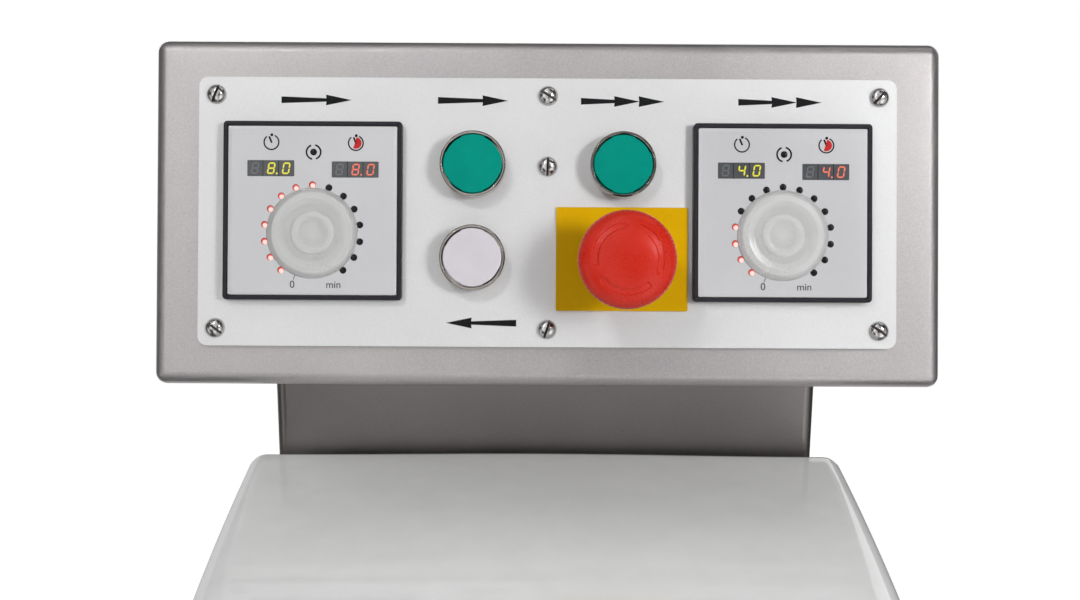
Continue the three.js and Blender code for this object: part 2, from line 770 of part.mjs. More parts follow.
function spiralBarPoints() {
  const coil = spiralReach - spiralBar;
  const bottom = bowlFloor + bowlWall + spiralFloorGap + spiralBar;
  const steps = 26;
  return Array.from({ length: steps + 1 }, (_, i) => {
    const share = i / steps;
    const angle = 2 * Math.PI * spiralTurns * share + Math.PI / 2;
    const swing = Math.sin(Math.min(share / spiralSwing, 1) * (Math.PI / 2));
    const tuck = 1 - spiralTuck * Math.max(0, 4 * share - 3) ** 2; // over the last quarter
    const radius = coil * swing * tuck;
    const z = barTop + (bottom - barTop) * share;
    return vec(radius * Math.cos(angle), spiralOffset + radius * Math.sin(angle), z);
  });
}

function spiralTool() {
  const shaftTop = spiralPulleyBase + pulleyHeight + pulleyGap;
  const boss = spiralShaft + bossWall;
  const profile = [
    [0, barTop - spiralShaft],
    [spiralShaft * 0.7, barTop - spiralShaft * 0.8],
    [boss, barTop],
    [boss, barTop + spiralBoss],
    [spiralShaft, barTop + spiralBoss + bossWall],
    [spiralShaft, shaftTop],
    [0, shaftTop],
  ];
  return join(tube(spiralBarPoints(), spiralBar, 8, 44), turned(profile, 0, spiralOffset));
}
add(machine, "spiral_tool", spiralTool(), polishedSteel);

const bearingReach = headTray / 2 - pulleyGap; // how far each spiral bearing runs into the head tray
const lowerFlange = headBottom - seat - flangeThickness;
const lowerEnd = lowerFlange - bearingNose;
const lowerBearing = bearing(spiralShaft, lowerEnd, headBottom + bearingReach, lowerFlange, spiralOffset);
add(machine, "spiral_lower_bearing", lowerBearing, satinSteel);
const upperBearingTop = spiralPulleyBase - pulleyGap;
const upperBearing = bearing(spiralShaft, deck - bearingReach, upperBearingTop, deck + seat, spiralOffset);
add(machine, "spiral_upper_bearing", upperBearing, castIron);

function breakerBar() {
  const low = bowlFloor + bowlWall + breakerFloorGap;
  const top = headBottom - seat;
  const boss = breakerRadius + breakerBoss;
  const profile = [
    [0, low],
    [breakerRadius - breakerTip, low],
    [breakerRadius, low + breakerTip],
    [breakerRadius, top - 2 * breakerBoss],
    [boss, top - breakerBoss],
    [boss, top],
    [0, top],
  ];
  const outline = roundedRect(breakerFlangeWidth, breakerFlangeDepth, breakerFlangeCorner, 0, breakerY);
  return join(turned(profile, 0, breakerY), raised(outline, top - breakerFlangeHeight, top));
}
add(machine, "breaker_bar", breakerBar(), polishedSteel);

// ---- Bowl guard: a rail bent round the head, a half ring over the bowl's rim, ties and two eyes ----
const railX = headWidth / 2 + guardSideGap;

function guardRail() {
  const bend = headCorner + guardSideGap;
  const front = headFront - guardFrontGap;
  const low = guardPivotZ - guardRailDrop;
  const [armY, armZ] = [guardPivotSetback - guardArm, guardPivotZ - guardArmDrop];
  const pivot = (side) => vec(side * railX, guardPivotSetback, guardPivotZ);
  const armEnd = (side) => vec(side * railX, armY, armZ);
  const corner = (side) =>
    Array.from({ length: 6 }, (_, i) => {
      const turn = (i / 5) * (Math.PI / 2);
      return vec(side * (railX - bend + bend * Math.cos(turn)), front + bend * (1 - Math.sin(turn)), low);
    });
  const left = [pivot(-1), armEnd(-1), ...corner(-1)];
  const right = [...corner(1).reverse(), armEnd(1), pivot(1)];
  return [...left, vec(0, front, low), ...right];
}

function guardRing() {
  const radius = bowlRadius + rimBead / 2;
  const z = bowlRim + guardRimGap + guardRod;
  const steps = 20;
  return Array.from({ length: steps + 1 }, (_, i) => {
    const turn = Math.PI * (1 + i / steps);
    return vec(radius * Math.cos(turn), radius * Math.sin(turn), z);
  });
}

function bowlGuard() {
  const [rail, ring] = [guardRail(), guardRing()];
  const [railCurve, ringCurve] = [rail, ring].map((points) => new THREE.CatmullRomCurve3(points));
  const ties = Array.from({ length: guardTies }, (_, i) => {
    const share = i / (guardTies - 1);
    const from = railCurve.getPointAt(0.13 + 0.74 * share); // clear of the arms
    const to = ringCurve.getPointAt(0.004 + 0.992 * share); // just inside the ring's ends
    return tube([from, from.clone().lerp(to, 0.5), to], guardTie, 6, 1);
  });
  const eyes = [-1, 1].map((side) => {
    const [x0, x1] = [side * railX - eyeThickness / 2, side * railX + eyeThickness / 2];
    return crossRod(eyeRadius, x0, x1, guardPivotSetback, guardPivotZ);
  });
  const body = join(tube(rail, guardRod, 6, 30), tube(ring, guardRod, 6, 24), ...ties, ...eyes);
  const reach = railX + eyeThickness;
  return cut(body, crossRod(guardPin + runGap, -reach, reach, guardPivotSetback, guardPivotZ));
}
add(machine, "bowl_guard", bowlGuard(), polishedSteel);

[["left", -90], ["right", 90]].forEach(([side, turn]) => {
  const tail = headWidth / 2 - sheet - pinTail;
  const shoulder = railX + eyeThickness / 2 + runGap + seat;
  const profile = [
    [0, tail],
    [guardPin, tail],
    [guardPin, shoulder],
    [guardPin + pinHead, shoulder],
    [guardPin + pinHead, shoulder + pinHeadHeight],
    [0, shoulder + pinHeadHeight + pinDome],
  ];
  const pin = turned(profile, 0, 0, 16).rotate([0, turn, 0]).translate([0, guardPivotSetback, guardPivotZ]);
  add(machine, `guard_pin_${side}`, pin, polishedSteel);
});

// ---- Console group: tilted back, its lower front edge set from the neck and the hood ----
const panel = new THREE.Group();
panel.rotation.x = Math.PI / 2 - tilt;
panel.position.set(
  0,
  neckFront - consoleLead + (consoleHeight / 2) * Math.sin(tilt),
  hoodTop + consoleLift + (consoleHeight / 2) * Math.cos(tilt),
);
panel.updateMatrix();
machine.add(panel);

const screwX = plateWidth / 2 - screwEdge;
const screwY = plateHeight / 2 - screwEdge;
const plateScrews = [ // x, y, and how far the slot is turned, in degrees
  [-screwX, screwY, 68],
  [0, screwY, -32],
  [screwX, screwY, 48],
  [0, middleScrewHeight, 88],
  [-screwX, -screwY, -38],
  [0, -screwY, 72],
  [screwX, -screwY, -35],
];
const screwHole = screwRadius + runGap;
const timers = [
  { name: "slow_timer", x: -timerSpacing },
  { name: "fast_timer", x: timerSpacing },
];
const buttons = [
  { name: "slow_start", x: -buttonSide, y: buttonRise, finish: greenPlastic },
  { name: "fast_start", x: buttonSide, y: buttonRise, finish: greenPlastic },
  { name: "bowl_reverse", x: -buttonSide, y: -buttonRise, finish: whitePlastic },
];
const stop = { x: buttonSide, y: -buttonRise - stopDrop };

function consoleHousing() {
  const bevel = {
    depth: consoleDepth,
    bevelThickness: consoleBend,
    bevelSize: consoleBend,
    bevelOffset: -consoleBend,
    bevelSegments: 3,
    curveSegments: 4,
  };
  const outline = roundedRect(consoleWidth, consoleHeight, consoleBend + 1);
  const bent = new THREE.ExtrudeGeometry(outline, bevel).translate(0, 0, -consoleDepth - consoleBend);
  const behind = -consoleDepth - 4 * consoleBend;
  const openBack = post(2 * consoleWidth, 2 * consoleHeight, behind, -consoleDepth);
  const room = post(consoleWidth - 2 * thinSheet, consoleHeight - 2 * thinSheet, behind, -thinSheet);
  const windowOuter = timerSpacing + timerCase / 2 + windowRoom;
  const windowInner = middleStrip / 2;
  const windowY = Math.max(blockHeight / 2 - stop.y, timerCase / 2) + windowRoom;
  const windowWidth = windowOuter - windowInner;
  const windowX = (windowOuter + windowInner) / 2;
  const windows = [-1, 1].map((side) =>
    post(windowWidth, 2 * windowY, -thinSheet - past, past, side * windowX),
  );
  const screwHoles = plateScrews.map(([x, y]) => rod(screwHole, -thinSheet - past, past, x, y, 8));
  const slotHalf = neckWidth / 2 - neckSlotInset;
  const underside = -consoleHeight / 2;
  const slotBack = -(consoleLead + neckDepth - thinSheet) / Math.cos(tilt);
  const slotFront = -(consoleLead + thinSheet) / Math.cos(tilt);
  const slot = block(-slotHalf, slotHalf, underside - past, underside + thinSheet + past,
    slotBack, slotFront);
  return cut(solid(bent), openBack, room, ...windows, ...screwHoles, slot);
}
add(panel, "console_housing", consoleHousing(), satinSteel);

// A flat plate over the housing's open back, with a lip that fits inside it.
function consoleCover() {
  const front = -consoleDepth - seat;
  const back = front - thinSheet;
  const plate = raised(roundedRect(consoleWidth, consoleHeight, consoleBend + 1), back, front, 4);
  const lipWidth = consoleWidth - 2 * (thinSheet + seat);
  const lipHeight = consoleHeight - 2 * (thinSheet + seat);
  const lipFront = front + coverLip;
  const lip = cut(
    post(lipWidth, lipHeight, back, lipFront),
    post(lipWidth - 2 * thinSheet, lipHeight - 2 * thinSheet, front, lipFront + past),
  );
  return join(plate, lip);
}
add(panel, "console_cover", consoleCover(), satinSteel);

function facePlate() {
  const plate = raised(roundedRect(plateWidth, plateHeight, plateCorner), seat, faceZ);
  const [low, high] = [seat - past, faceZ + past];
  const cutout = timerCase + 2 * seat;
  const cutouts = timers.map(({ x }) => post(cutout, cutout, low, high, x));
  const holes = [...buttons, stop].map(({ x, y }) => rod(buttonHole, low, high, x, y));
  const screwHoles = plateScrews.map(([x, y]) => rod(screwHole, low, high, x, y, 8));
  return cut(plate, ...cutouts, ...holes, ...screwHoles);
}
add(panel, "face_plate", facePlate(), anodised);

// A slotted screw with a domed head, standing on z = 0.
function plateScrew(slotTurn) {
  const head = screwRadius + screwRim;
  const profile = [
    [0, -screwLength],
    [screwRadius, -screwLength],
    [screwRadius, 0],
    [head, 0],
    [head, screwHeadHeight * 0.5],
    [head * 0.7, screwHeadHeight * 0.9],
    [0, screwHeadHeight],
  ];
  const slot = post(2 * head + 2 * past, screwSlot, screwHeadHeight * 0.45, screwHeadHeight + past);
  return cut(turned(profile, 0, 0, 12), slot).rotate([0, 0, slotTurn]);
}
plateScrews.forEach(([x, y, slotTurn], i) => {
  const screw = plateScrew(slotTurn).translate([x, y, faceZ + seat]);
  add(panel, `plate_screw_${i + 1}`, screw, polishedSteel);
});

// ---- Timers: a square frame, a pane, a case behind the panel, and a finger dial on the pane ----
const timerLow = faceZ + seat;
const paneTop = timerLow + timerProud - paneRecess;
const paneLow = paneTop - paneThickness;
const caseFront = paneLow - seat;

function timerDial(x) {
  const end = caseFront - dialStemLength;
  const low = paneTop + seat;
  const top = low + dialHeight;
  const profile = [
    [0, end],
    [dialStem, end],
    [dialStem, low],
    [dialRadius, low],
    [dialRadius, low + dialSkirt],
    [dialRadius * 0.88, top - dialShoulder],
    [dialRadius * 0.82, top],
    [dialRadius * 0.5, top - dialDish],
    [dialRadius * 0.42, top - 0.3],
    [dialRadius * 0.28, top - dialWell],
    [0, top - dialWell],
  ];
  return turned(profile, x, -dialDrop);
}

timers.forEach(({ name, x }) => {
  const inner = timerFrame - 2 * timerBorder;
  const paneSize = inner - 2 * seat;
  const frameTop = timerLow + timerProud;
  const frame = cut(
    post(timerFrame, timerFrame, timerLow, frameTop, x),
    post(inner, inner, timerLow - past, frameTop + past, x),
  );
  const stemHole = rod(dialStem + runGap, caseFront - dialStemLength - 2, paneTop + past, x, -dialDrop, 12);
  const pane = cut(post(paneSize, paneSize, paneLow, paneTop, x), stemHole);
  const housing = cut(post(timerCase, timerCase, caseFront - timerCaseDepth, caseFront, x), stemHole);
  add(panel, `${name}_frame`, frame, blackPlastic);
  add(panel, `${name}_pane`, pane, paneFilm);
  add(panel, `${name}_case`, housing, blackPlastic);
  add(panel, `${name}_dial`, timerDial(x), dialPlastic);
});

// ---- Push buttons: chromed ring with its threaded sleeve, cap, and contact block behind the panel ----
const sleeveRadius = buttonHole - seat;
const sleeveEnd = faceZ - sleeveLength;
const ringRadius = buttonHole + ringOverlap;
const ringLow = faceZ + seat;
const ringTop = ringLow + ringProud;
const ringInner = ringRadius - ringLip;
const pocketFloor = ringLow + ringFloor;

function buttonRing(x, y) {
  const bore = capStem + runGap;
  const profile = [
    [bore, sleeveEnd],
    [sleeveRadius, sleeveEnd],
    [sleeveRadius, ringLow],
    [ringRadius, ringLow],
    [ringRadius, ringTop - 1.5],
    [ringRadius - 0.8, ringTop],
    [ringInner, ringTop],
    [ringInner, pocketFloor],
    [bore, pocketFloor],
    [bore, sleeveEnd],
  ];
  return turned(profile, x, y);
}

function buttonCap(x, y) {
  const radius = ringInner - seat;
  const top = ringTop - capRecess;
  const low = pocketFloor + buttonTravel + seat;
  const end = sleeveEnd + buttonTravel;
  const profile = [
    [0, end],
    [capStem, end],
    [capStem, low],
    [radius, low],
    [radius, top - 0.6],
    [radius - 0.8, top],
    [0, top + 0.2],
  ];
  return turned(profile, x, y);
}

function contactBlock(x, y) {
  const front = sleeveEnd - seat;
  return post(blockWidth, blockHeight, front - blockDepth, front, x, y);
}

buttons.forEach(({ name, x, y, finish }) => {
  add(panel, `${name}_ring`, buttonRing(x, y), chrome);
  add(panel, `${name}_cap`, buttonCap(x, y), finish);
  add(panel, `${name}_contacts`, contactBlock(x, y), blackPlastic);
});

// ---- Emergency stop: label plate, collar with its sleeve, plunger, mushroom and contact block ----
const labelTop = faceZ + seat + labelThickness;
const stopCrown = faceZ + stopProud;
const stopHeadLow = stopCrown - stopHeadHeight;
const spigotTop = stopCrown - spigotDepth;

function stopLabel() {
  const outline = roundedRect(labelWidth, labelHeight, labelCorner, stop.x, -buttonRise);
  const plate = raised(outline, faceZ + seat, labelTop, 1);
  return cut(plate, rod(buttonHole, faceZ, labelTop + past, stop.x, stop.y));
}

function stopCollar() {
  const bore = stopStem + runGap;
  const radius = buttonHole + collarOverlap;
  const low = labelTop + seat;
  const profile = [
    [bore, sleeveEnd],
    [sleeveRadius, sleeveEnd],
    [sleeveRadius, low],
    [radius, low],
    [radius - 1.5, low + collarHeight],
    [bore, low + collarHeight],
    [bore, sleeveEnd],
  ];
  return turned(profile, stop.x, stop.y);
}

function stopPlunger() {
  const end = sleeveEnd + stopTravel;
  const shoulder = stopHeadLow - seat;
  const profile = [
    [0, end],
    [stopStem, end],
    [stopStem, shoulder],
    [stopSpigot, shoulder],
    [stopSpigot, spigotTop],
    [0, spigotTop],
  ];
  return turned(profile, stop.x, stop.y);
}

function stopMushroom() {
  const socket = stopSpigot + runGap;
  const profile = [
    [0, spigotTop + seat],
    [socket, spigotTop + seat],
    [socket, stopHeadLow],
    [stopRadius * 0.55, stopHeadLow],
    [stopRadius * 0.75, stopHeadLow + 4],
    [stopRadius * 0.97, stopHeadLow + 8],
    [stopRadius, stopHeadLow + 10],
    [stopRadius * 0.97, stopCrown - 4],
    [stopRadius * 0.85, stopCrown - 1],
    [stopRadius * 0.7, stopCrown],
    [stopRadius * 0.5, stopCrown - 0.4],
    [0, stopCrown - 0.8],
  ];
  return turned(profile, stop.x, stop.y, 24);
}
add(panel, "stop_label", stopLabel(), yellowPlastic);
add(panel, "stop_collar", stopCollar(), blackPlastic);
add(panel, "stop_plunger", stopPlunger(), blackPlastic);
add(panel, "stop_mushroom", stopMushroom(), redPlastic);
add(panel, "stop_contacts", contactBlock(stop.x, stop.y), blackPlastic);

// ---- Neck: a sheet duct from the column's top to the console's underside ----
function consoleNeck() {
  const low = columnTop + seat;
  const high = hoodTop + consoleLift + consoleHeight;
  const outside = roundedRect(neckWidth, neckDepth, neckCorner, 0, loomY);
  const [boreWidth, boreDepth] = [neckWidth - 2 * thinSheet, neckDepth - 2 * thinSheet];
  const bore = roundedRect(boreWidth, boreDepth, neckCorner - thinSheet, 0, loomY);
  const duct = cut(raised(outside, low, high, 3), raised(bore, low - past, high + past, 3));
  const reach = consoleWidth; // past the duct on every side
  const above = new THREE.BoxGeometry(2 * reach, 2 * reach, 4 * reach);
  above.translate(0, -consoleHeight / 2 - seat + reach, 0).applyMatrix4(panel.matrix);
  return cut(duct, solid(above));
}
add(machine, "console_neck", consoleNeck(), satinSteel);

// ---- Control loom: from the right timer's case down the neck to the spiral motor's terminal box ----
function controlLoom() {
  const caseRear = caseFront - timerCaseDepth;
  const onPanel = (y, z) => vec(loomX, y, z).applyMatrix4(panel.matrix);
  const turnDown = onPanel(-14, caseRear - 20);
  const endX = spiralMotorRadius + 14;
  const endZ = spiralMotorTop - terminalDrop + seat;
  const points = [
    onPanel(0, caseRear - seat),
    onPanel(0, caseRear - 6),
    turnDown,
    vec(loomX, loomY, turnDown.z - 40),
    vec(loomX, loomY, columnTop + 20),
    vec(loomX, loomY, (columnTop + deck) / 2),
    vec(loomX, loomY, deck - 4),
    vec(endX, motorY, endZ + 16),
    vec(endX, motorY, endZ + 8),
    vec(endX, motorY, endZ),
  ];
  return tube(points, loomRadius, 8, 30);
}
add(machine, "control_loom", controlLoom(), rubber);

// ---- Origin: on the floor, under the middle of the whole machine's box ----
machine.updateMatrixWorld(true);
const bounds = new THREE.Box3().setFromObject(machine, true);
machine.position.set(-(bounds.min.x + bounds.max.x) / 2, -(bounds.min.y + bounds.max.y) / 2, -bounds.min.z);

export default machine;
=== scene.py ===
import json
import math

import bmesh
import bpy
import numpy as np
from mathutils import Matrix
from mathutils.geometry import tessellate_polygon


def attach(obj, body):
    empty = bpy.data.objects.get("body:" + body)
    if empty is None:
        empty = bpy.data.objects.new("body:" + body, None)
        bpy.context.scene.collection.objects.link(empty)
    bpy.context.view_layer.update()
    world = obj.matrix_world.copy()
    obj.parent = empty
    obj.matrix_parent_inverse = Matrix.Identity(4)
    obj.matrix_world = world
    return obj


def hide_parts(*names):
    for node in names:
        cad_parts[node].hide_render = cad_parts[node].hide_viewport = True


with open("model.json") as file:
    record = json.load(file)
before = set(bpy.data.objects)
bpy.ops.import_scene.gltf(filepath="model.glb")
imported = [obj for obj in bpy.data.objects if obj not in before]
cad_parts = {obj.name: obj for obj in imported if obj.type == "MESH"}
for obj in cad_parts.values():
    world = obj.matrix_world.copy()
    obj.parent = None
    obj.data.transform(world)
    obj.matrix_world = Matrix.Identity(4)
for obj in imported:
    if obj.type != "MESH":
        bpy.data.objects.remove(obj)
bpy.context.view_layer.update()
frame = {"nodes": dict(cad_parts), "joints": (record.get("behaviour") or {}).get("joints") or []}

nodes = frame["nodes"]

# The console leans back, so its pieces are worked out in its own axes: to the right, up the panel
# and out of it, from the middle of the face plate's front.
pressAxis = next(joint["axis"] for joint in frame["joints"] if joint["name"] == "slow_start_press")
outAxis = -np.array(pressAxis, float)
outAxis /= np.linalg.norm(outAxis)
panelAxes = np.stack([np.array([1.0, 0.0, 0.0]), np.cross(outAxis, [1.0, 0.0, 0.0]), outAxis])


def nodePoints(name):
    # a node's corners, from metres to millimetres
    mesh = nodes[name].data
    points = np.empty(len(mesh.vertices) * 3)
    mesh.vertices.foreach_get("co", points)
    return points.reshape(-1, 3) * 1000


platePoints = nodePoints("face_plate") @ panelAxes.T
panelOrigin = (platePoints.min(0) + platePoints.max(0)) / 2
panelOrigin[2] = platePoints[:, 2].max()


def onPanel(points):
    # console axes in millimetres to the row frame in metres
    return (np.asarray(points, float) + panelOrigin) @ panelAxes / 1000


def standing(points):
    # the row frame, from millimetres to metres
    return np.asarray(points, float) / 1000


def panelBox(name):
    # lowest and highest corner of a node in the console's axes
    points = nodePoints(name) @ panelAxes.T - panelOrigin
    return points.min(0), points.max(0)


def standBox(name):
    # the same in the row frame, where the machine stands upright
    points = nodePoints(name)
    return points.min(0), points.max(0)


def panelMiddle(name):
    # half the sum of a node's lowest and highest corners
    return sum(panelBox(name)) / 2


def standMiddle(name):
    return sum(standBox(name)) / 2


# Camera: square to the panel, a little below its middle
cameraSetup = {
    "lens": 50.0,
    "sensor": 36.0,
    "stand": (-7.3, -54.2, 637.5),  # millimetres in the console's axes
    "roll": 0.305,  # degrees, anticlockwise
    "pitch": 0.55,  # degrees, upwards from square to the panel
    "shift": (0.009537, 0.023704),  # shares of the picture's width
    "clip": (0.01, 60.0),  # metres
}
cameraData = bpy.data.cameras.new("camera")
cameraData.lens = cameraSetup["lens"]
cameraData.sensor_width = cameraSetup["sensor"]
cameraData.shift_x, cameraData.shift_y = cameraSetup["shift"]
cameraData.clip_start, cameraData.clip_end = cameraSetup["clip"]
camera = bpy.data.objects.new("camera", cameraData)
bpy.context.scene.collection.objects.link(camera)
lean = Matrix.Rotation(math.radians(cameraSetup["pitch"]), 4, "X")
roll = Matrix.Rotation(math.radians(cameraSetup["roll"]), 4, "Z")
cameraTurn = Matrix(panelAxes.T.tolist()).to_4x4() @ lean @ roll
camera.matrix_world = Matrix.Translation(onPanel(cameraSetup["stand"])) @ cameraTurn
bpy.context.scene.camera = camera
bpy.context.scene.view_settings.view_transform = "Standard"
print("camera: set")


# Shapes: each is a list of points in millimetres and a list of faces
def gridShape(rows, wrap=True, ends=False):
    # rows of points with quads between neighbours; the last column meets the first where it wraps,
    # and the first and last rows may each be closed by one face
    rows = np.asarray(rows, float)
    index = np.arange(rows.shape[0] * rows.shape[1]).reshape(rows.shape[:2])
    beside = np.roll(index, -1, 1) if wrap else index[:, 1:]
    here = index if wrap else index[:, :-1]
    quads = np.stack([here[:-1], beside[:-1], beside[1:], here[1:]], -1).reshape(-1, 4)
    faces = quads.tolist()
    if ends:
        faces += [index[0].tolist(), index[-1].tolist()]
    return rows.reshape(-1, 3), faces


def joined(*shapes):
    # shapes as one, each one's faces counted on from the points before it
    starts = np.cumsum([0] + [len(points) for points, faces in shapes])
    points = np.concatenate([points for points, faces in shapes])
    faces = [[start + i for i in face] for start, shape in zip(starts, shapes) for face in shape[1]]
    return points, faces


def filleted(corners, bends, steps=5):
    # a polyline whose inner corners become arcs: each arc starts bend / tan(half the corner's angle)
    # before the corner and touches both sides; a bend of 0 leaves the corner sharp
    nearlyStraight = 1.56  # radians, half of an angle that gets no arc
    corners = np.asarray(corners, float)
    parts = [corners[:1]]
    for before, here, after, bend in zip(corners[:-2], corners[1:-1], corners[2:], bends):
        back = (before - here) / np.linalg.norm(before - here)
        onward = (after - here) / np.linalg.norm(after - here)
        half = math.acos(float(np.clip(back @ onward, -1, 1))) / 2
        if bend == 0 or half > nearlyStraight:
            parts.append(here[None])
            continue
        middle = (back + onward) / np.linalg.norm(back + onward)
        centre = here + middle * bend / math.sin(half)
        start = here + back * bend / math.tan(half) - centre
        end = here + onward * bend / math.tan(half) - centre
        turn = math.atan2(start[0] * end[1] - start[1] * end[0], start @ end)
        angle = math.atan2(start[1], start[0]) + turn * np.linspace(0, 1, steps + 1)
        parts.append(centre + bend * np.stack([np.cos(angle), np.sin(angle)], 1))
    parts.append(corners[-1:])
    return np.concatenate(parts)


def roundedRing(width, height, corner, x=0.0, y=0.0, steps=8):
    # four quarter circles about the corners of a rectangle drawn in by their radius
    turn = np.arange(4)[:, None] * math.pi / 2 + np.linspace(0, math.pi / 2, steps + 1)
    side = np.array([1, -1, -1, 1])[:, None]
    rise = np.array([1, 1, -1, -1])[:, None]
    across = x + side * (width / 2 - corner) + corner * np.cos(turn)
    along = y + rise * (height / 2 - corner) + corner * np.sin(turn)
    return np.stack([across.ravel(), along.ravel()], 1)


def circleRing(radius, x=0.0, y=0.0, steps=48):
    # points at even angles round a circle
    turn = np.linspace(0, 2 * math.pi, steps, endpoint=False)
    return np.stack([x + radius * np.cos(turn), y + radius * np.sin(turn)], 1)


def atLevel(outline, level):
    # a flat outline raised to a level, which may be one height or a height for each point
    return np.column_stack([outline, np.broadcast_to(level, len(outline))])


def frameShape(size, corner, section, x, y, steps):
    # a closed section of inset and level pairs, carried round a rounded square
    leastCorner = 0.3
    rings = []
    for inset, level in [*section, section[0]]:
        side = size - 2 * inset
        rings.append(atLevel(roundedRing(side, side, max(corner - inset, leastCorner), x, y, steps), level))
    return gridShape(rings)


def slab(outlines, low, high):
    # the area between an outline and its holes, filled at both levels, with a wall along each of them
    flat = np.concatenate(outlines)
    count = len(flat)
    filled = tessellate_polygon([atLevel(outline, 0.0).tolist() for outline in outlines])
    triangles = np.array([list(triangle) for triangle in filled])
    faces = triangles.tolist() + (triangles[:, ::-1] + count).tolist()
    start = 0
    for outline in outlines:
        here = start + np.arange(len(outline))
        beside = np.roll(here, -1)
        faces += np.stack([here, beside, beside + count, here + count], 1).tolist()
        start += len(outline)
    return np.concatenate([atLevel(flat, low), atLevel(flat, high)]), faces


def turned(profile, x, y, facets):
    # radius and height of each point of a profile, carried round an upright axis at x, y
    angle = np.linspace(0, 2 * math.pi, facets, endpoint=False)
    radius, level = np.asarray(profile, float).T[:, :, None]
    rows = np.stack([x + radius * np.cos(angle), y + radius * np.sin(angle), level + 0 * angle], -1)
    return gridShape(rows)


def lathed(corners, bends, steps, x, y, facets):
    # a profile given by its corners and their bends, carried round in the same way
    return turned(filleted(corners, bends, steps), x, y, facets)


def swept(path, radius, sides):
    # circles across a path: one radius lies along tangent x up, the other across both, and the ends
    # are drawn in to a low dome
    domeRings = 4
    domeHeight = 0.5  # share of the radius
    path = np.asarray(path, float)
    radius = np.broadcast_to(radius, len(path)).astype(float)
    tangent = np.gradient(path, axis=0)
    tangent /= np.linalg.norm(tangent, axis=1, keepdims=True)
    first = np.cross(tangent, (0, 0, 1))
    first /= np.linalg.norm(first, axis=1, keepdims=True)
    second = np.cross(tangent, first)
    rise = np.linspace(0, math.pi / 2, domeRings, endpoint=False)
    dome, lift = np.sin(rise), np.cos(rise) * domeHeight
    front = path[:1] - tangent[:1] * (lift * radius[0])[:, None]
    back = (path[-1:] + tangent[-1:] * (lift * radius[-1])[:, None])[::-1]
    path = np.concatenate([front, path, back])
    radius = np.concatenate([dome * radius[0], radius, (dome * radius[-1])[::-1]])
    first, second = (np.pad(way, [(domeRings, domeRings), (0, 0)], "edge") for way in (first, second))
    angle = np.linspace(0, 2 * math.pi, sides, endpoint=False)[None, :, None]
    across = np.cos(angle) * first[:, None] + np.sin(angle) * second[:, None]
    return gridShape(path[:, None] + across * radius[:, None, None])


def smoothPath(points, steps):
    # a Catmull-Rom curve: each span is a cubic whose end slopes are half the step between neighbours
    points = np.asarray(points, float)
    padded = np.concatenate([2 * points[:1] - points[1:2], points, 2 * points[-1:] - points[-2:-1]])
    share = np.linspace(0, len(points) - 1, steps + 1)
    span = np.minimum(share.astype(int), len(points) - 2)
    t = (share - span)[:, None]
    a, b, c, d = (padded[span + i] for i in range(4))
    curve = 2 * b + (c - a) * t + (2 * a - 5 * b + 4 * c - d) * t**2 + (3 * b - a - 3 * c + d) * t**3
    return curve / 2


def ribbonOutline(path, width):
    # a path offset half its width to each side, along its normals
    path = np.asarray(path, float)
    slope = np.gradient(path, axis=0)
    slope /= np.linalg.norm(slope, axis=1, keepdims=True)
    normal = np.stack([-slope[:, 1], slope[:, 0]], 1)
    half = np.broadcast_to(np.asarray(width, float) / 2, len(path))[:, None]
    return np.concatenate([path + normal * half, (path - normal * half)[::-1]])


def arcPath(radius, start, end, x, y, steps=32):
    # from one angle to another, in degrees
    turn = np.radians(np.linspace(start, end, steps + 1))
    return np.stack([x + radius * np.cos(turn), y + radius * np.sin(turn)], 1)


meshing = {
    "weld": 3e-6,  # metres, under which two points are one
    "sliver": 1e-6,
    "cadWeld": 2e-5,
    "cadFlat": 1.0,  # degrees, under which two triangles are one face
    "roundingSteps": 3,
}


def makePiece(name, shape, finish, body="frame", place=standing, **settings):
    # doubles are merged before the normals are turned outwards; the wall is laid inwards after that
    points, faces = shape
    mesh = bpy.data.meshes.new(name)
    mesh.from_pydata(place(points).tolist(), [], faces)
    work = bmesh.new()
    work.from_mesh(mesh)
    bmesh.ops.remove_doubles(work, verts=work.verts, dist=meshing["weld"])
    bmesh.ops.dissolve_degenerate(work, edges=work.edges, dist=meshing["sliver"])
    bmesh.ops.recalc_face_normals(work, faces=work.faces)
    work.to_mesh(mesh)
    work.free()
    finishPiece(name, mesh, finish, body, **settings)


def panelPiece(name, shape, finish, body="frame", **settings):
    # a piece whose shape is given in the console's axes
    makePiece(name, shape, finish, body, onPanel, **settings)


def makeCopy(node, finish, body="frame", **settings):
    # a CAD node's own shape, with its loose triangles merged and its flat faces made whole
    mesh = nodes[node].data.copy()
    work = bmesh.new()
    work.from_mesh(mesh)
    bmesh.ops.remove_doubles(work, verts=work.verts, dist=meshing["cadWeld"])
    flat = math.radians(meshing["cadFlat"])
    bmesh.ops.dissolve_limit(work, angle_limit=flat, verts=work.verts, edges=work.edges)
    work.to_mesh(mesh)
    work.free()
    finishPiece(node + "_finished", mesh, finish, body, standsFor=[node], **settings)


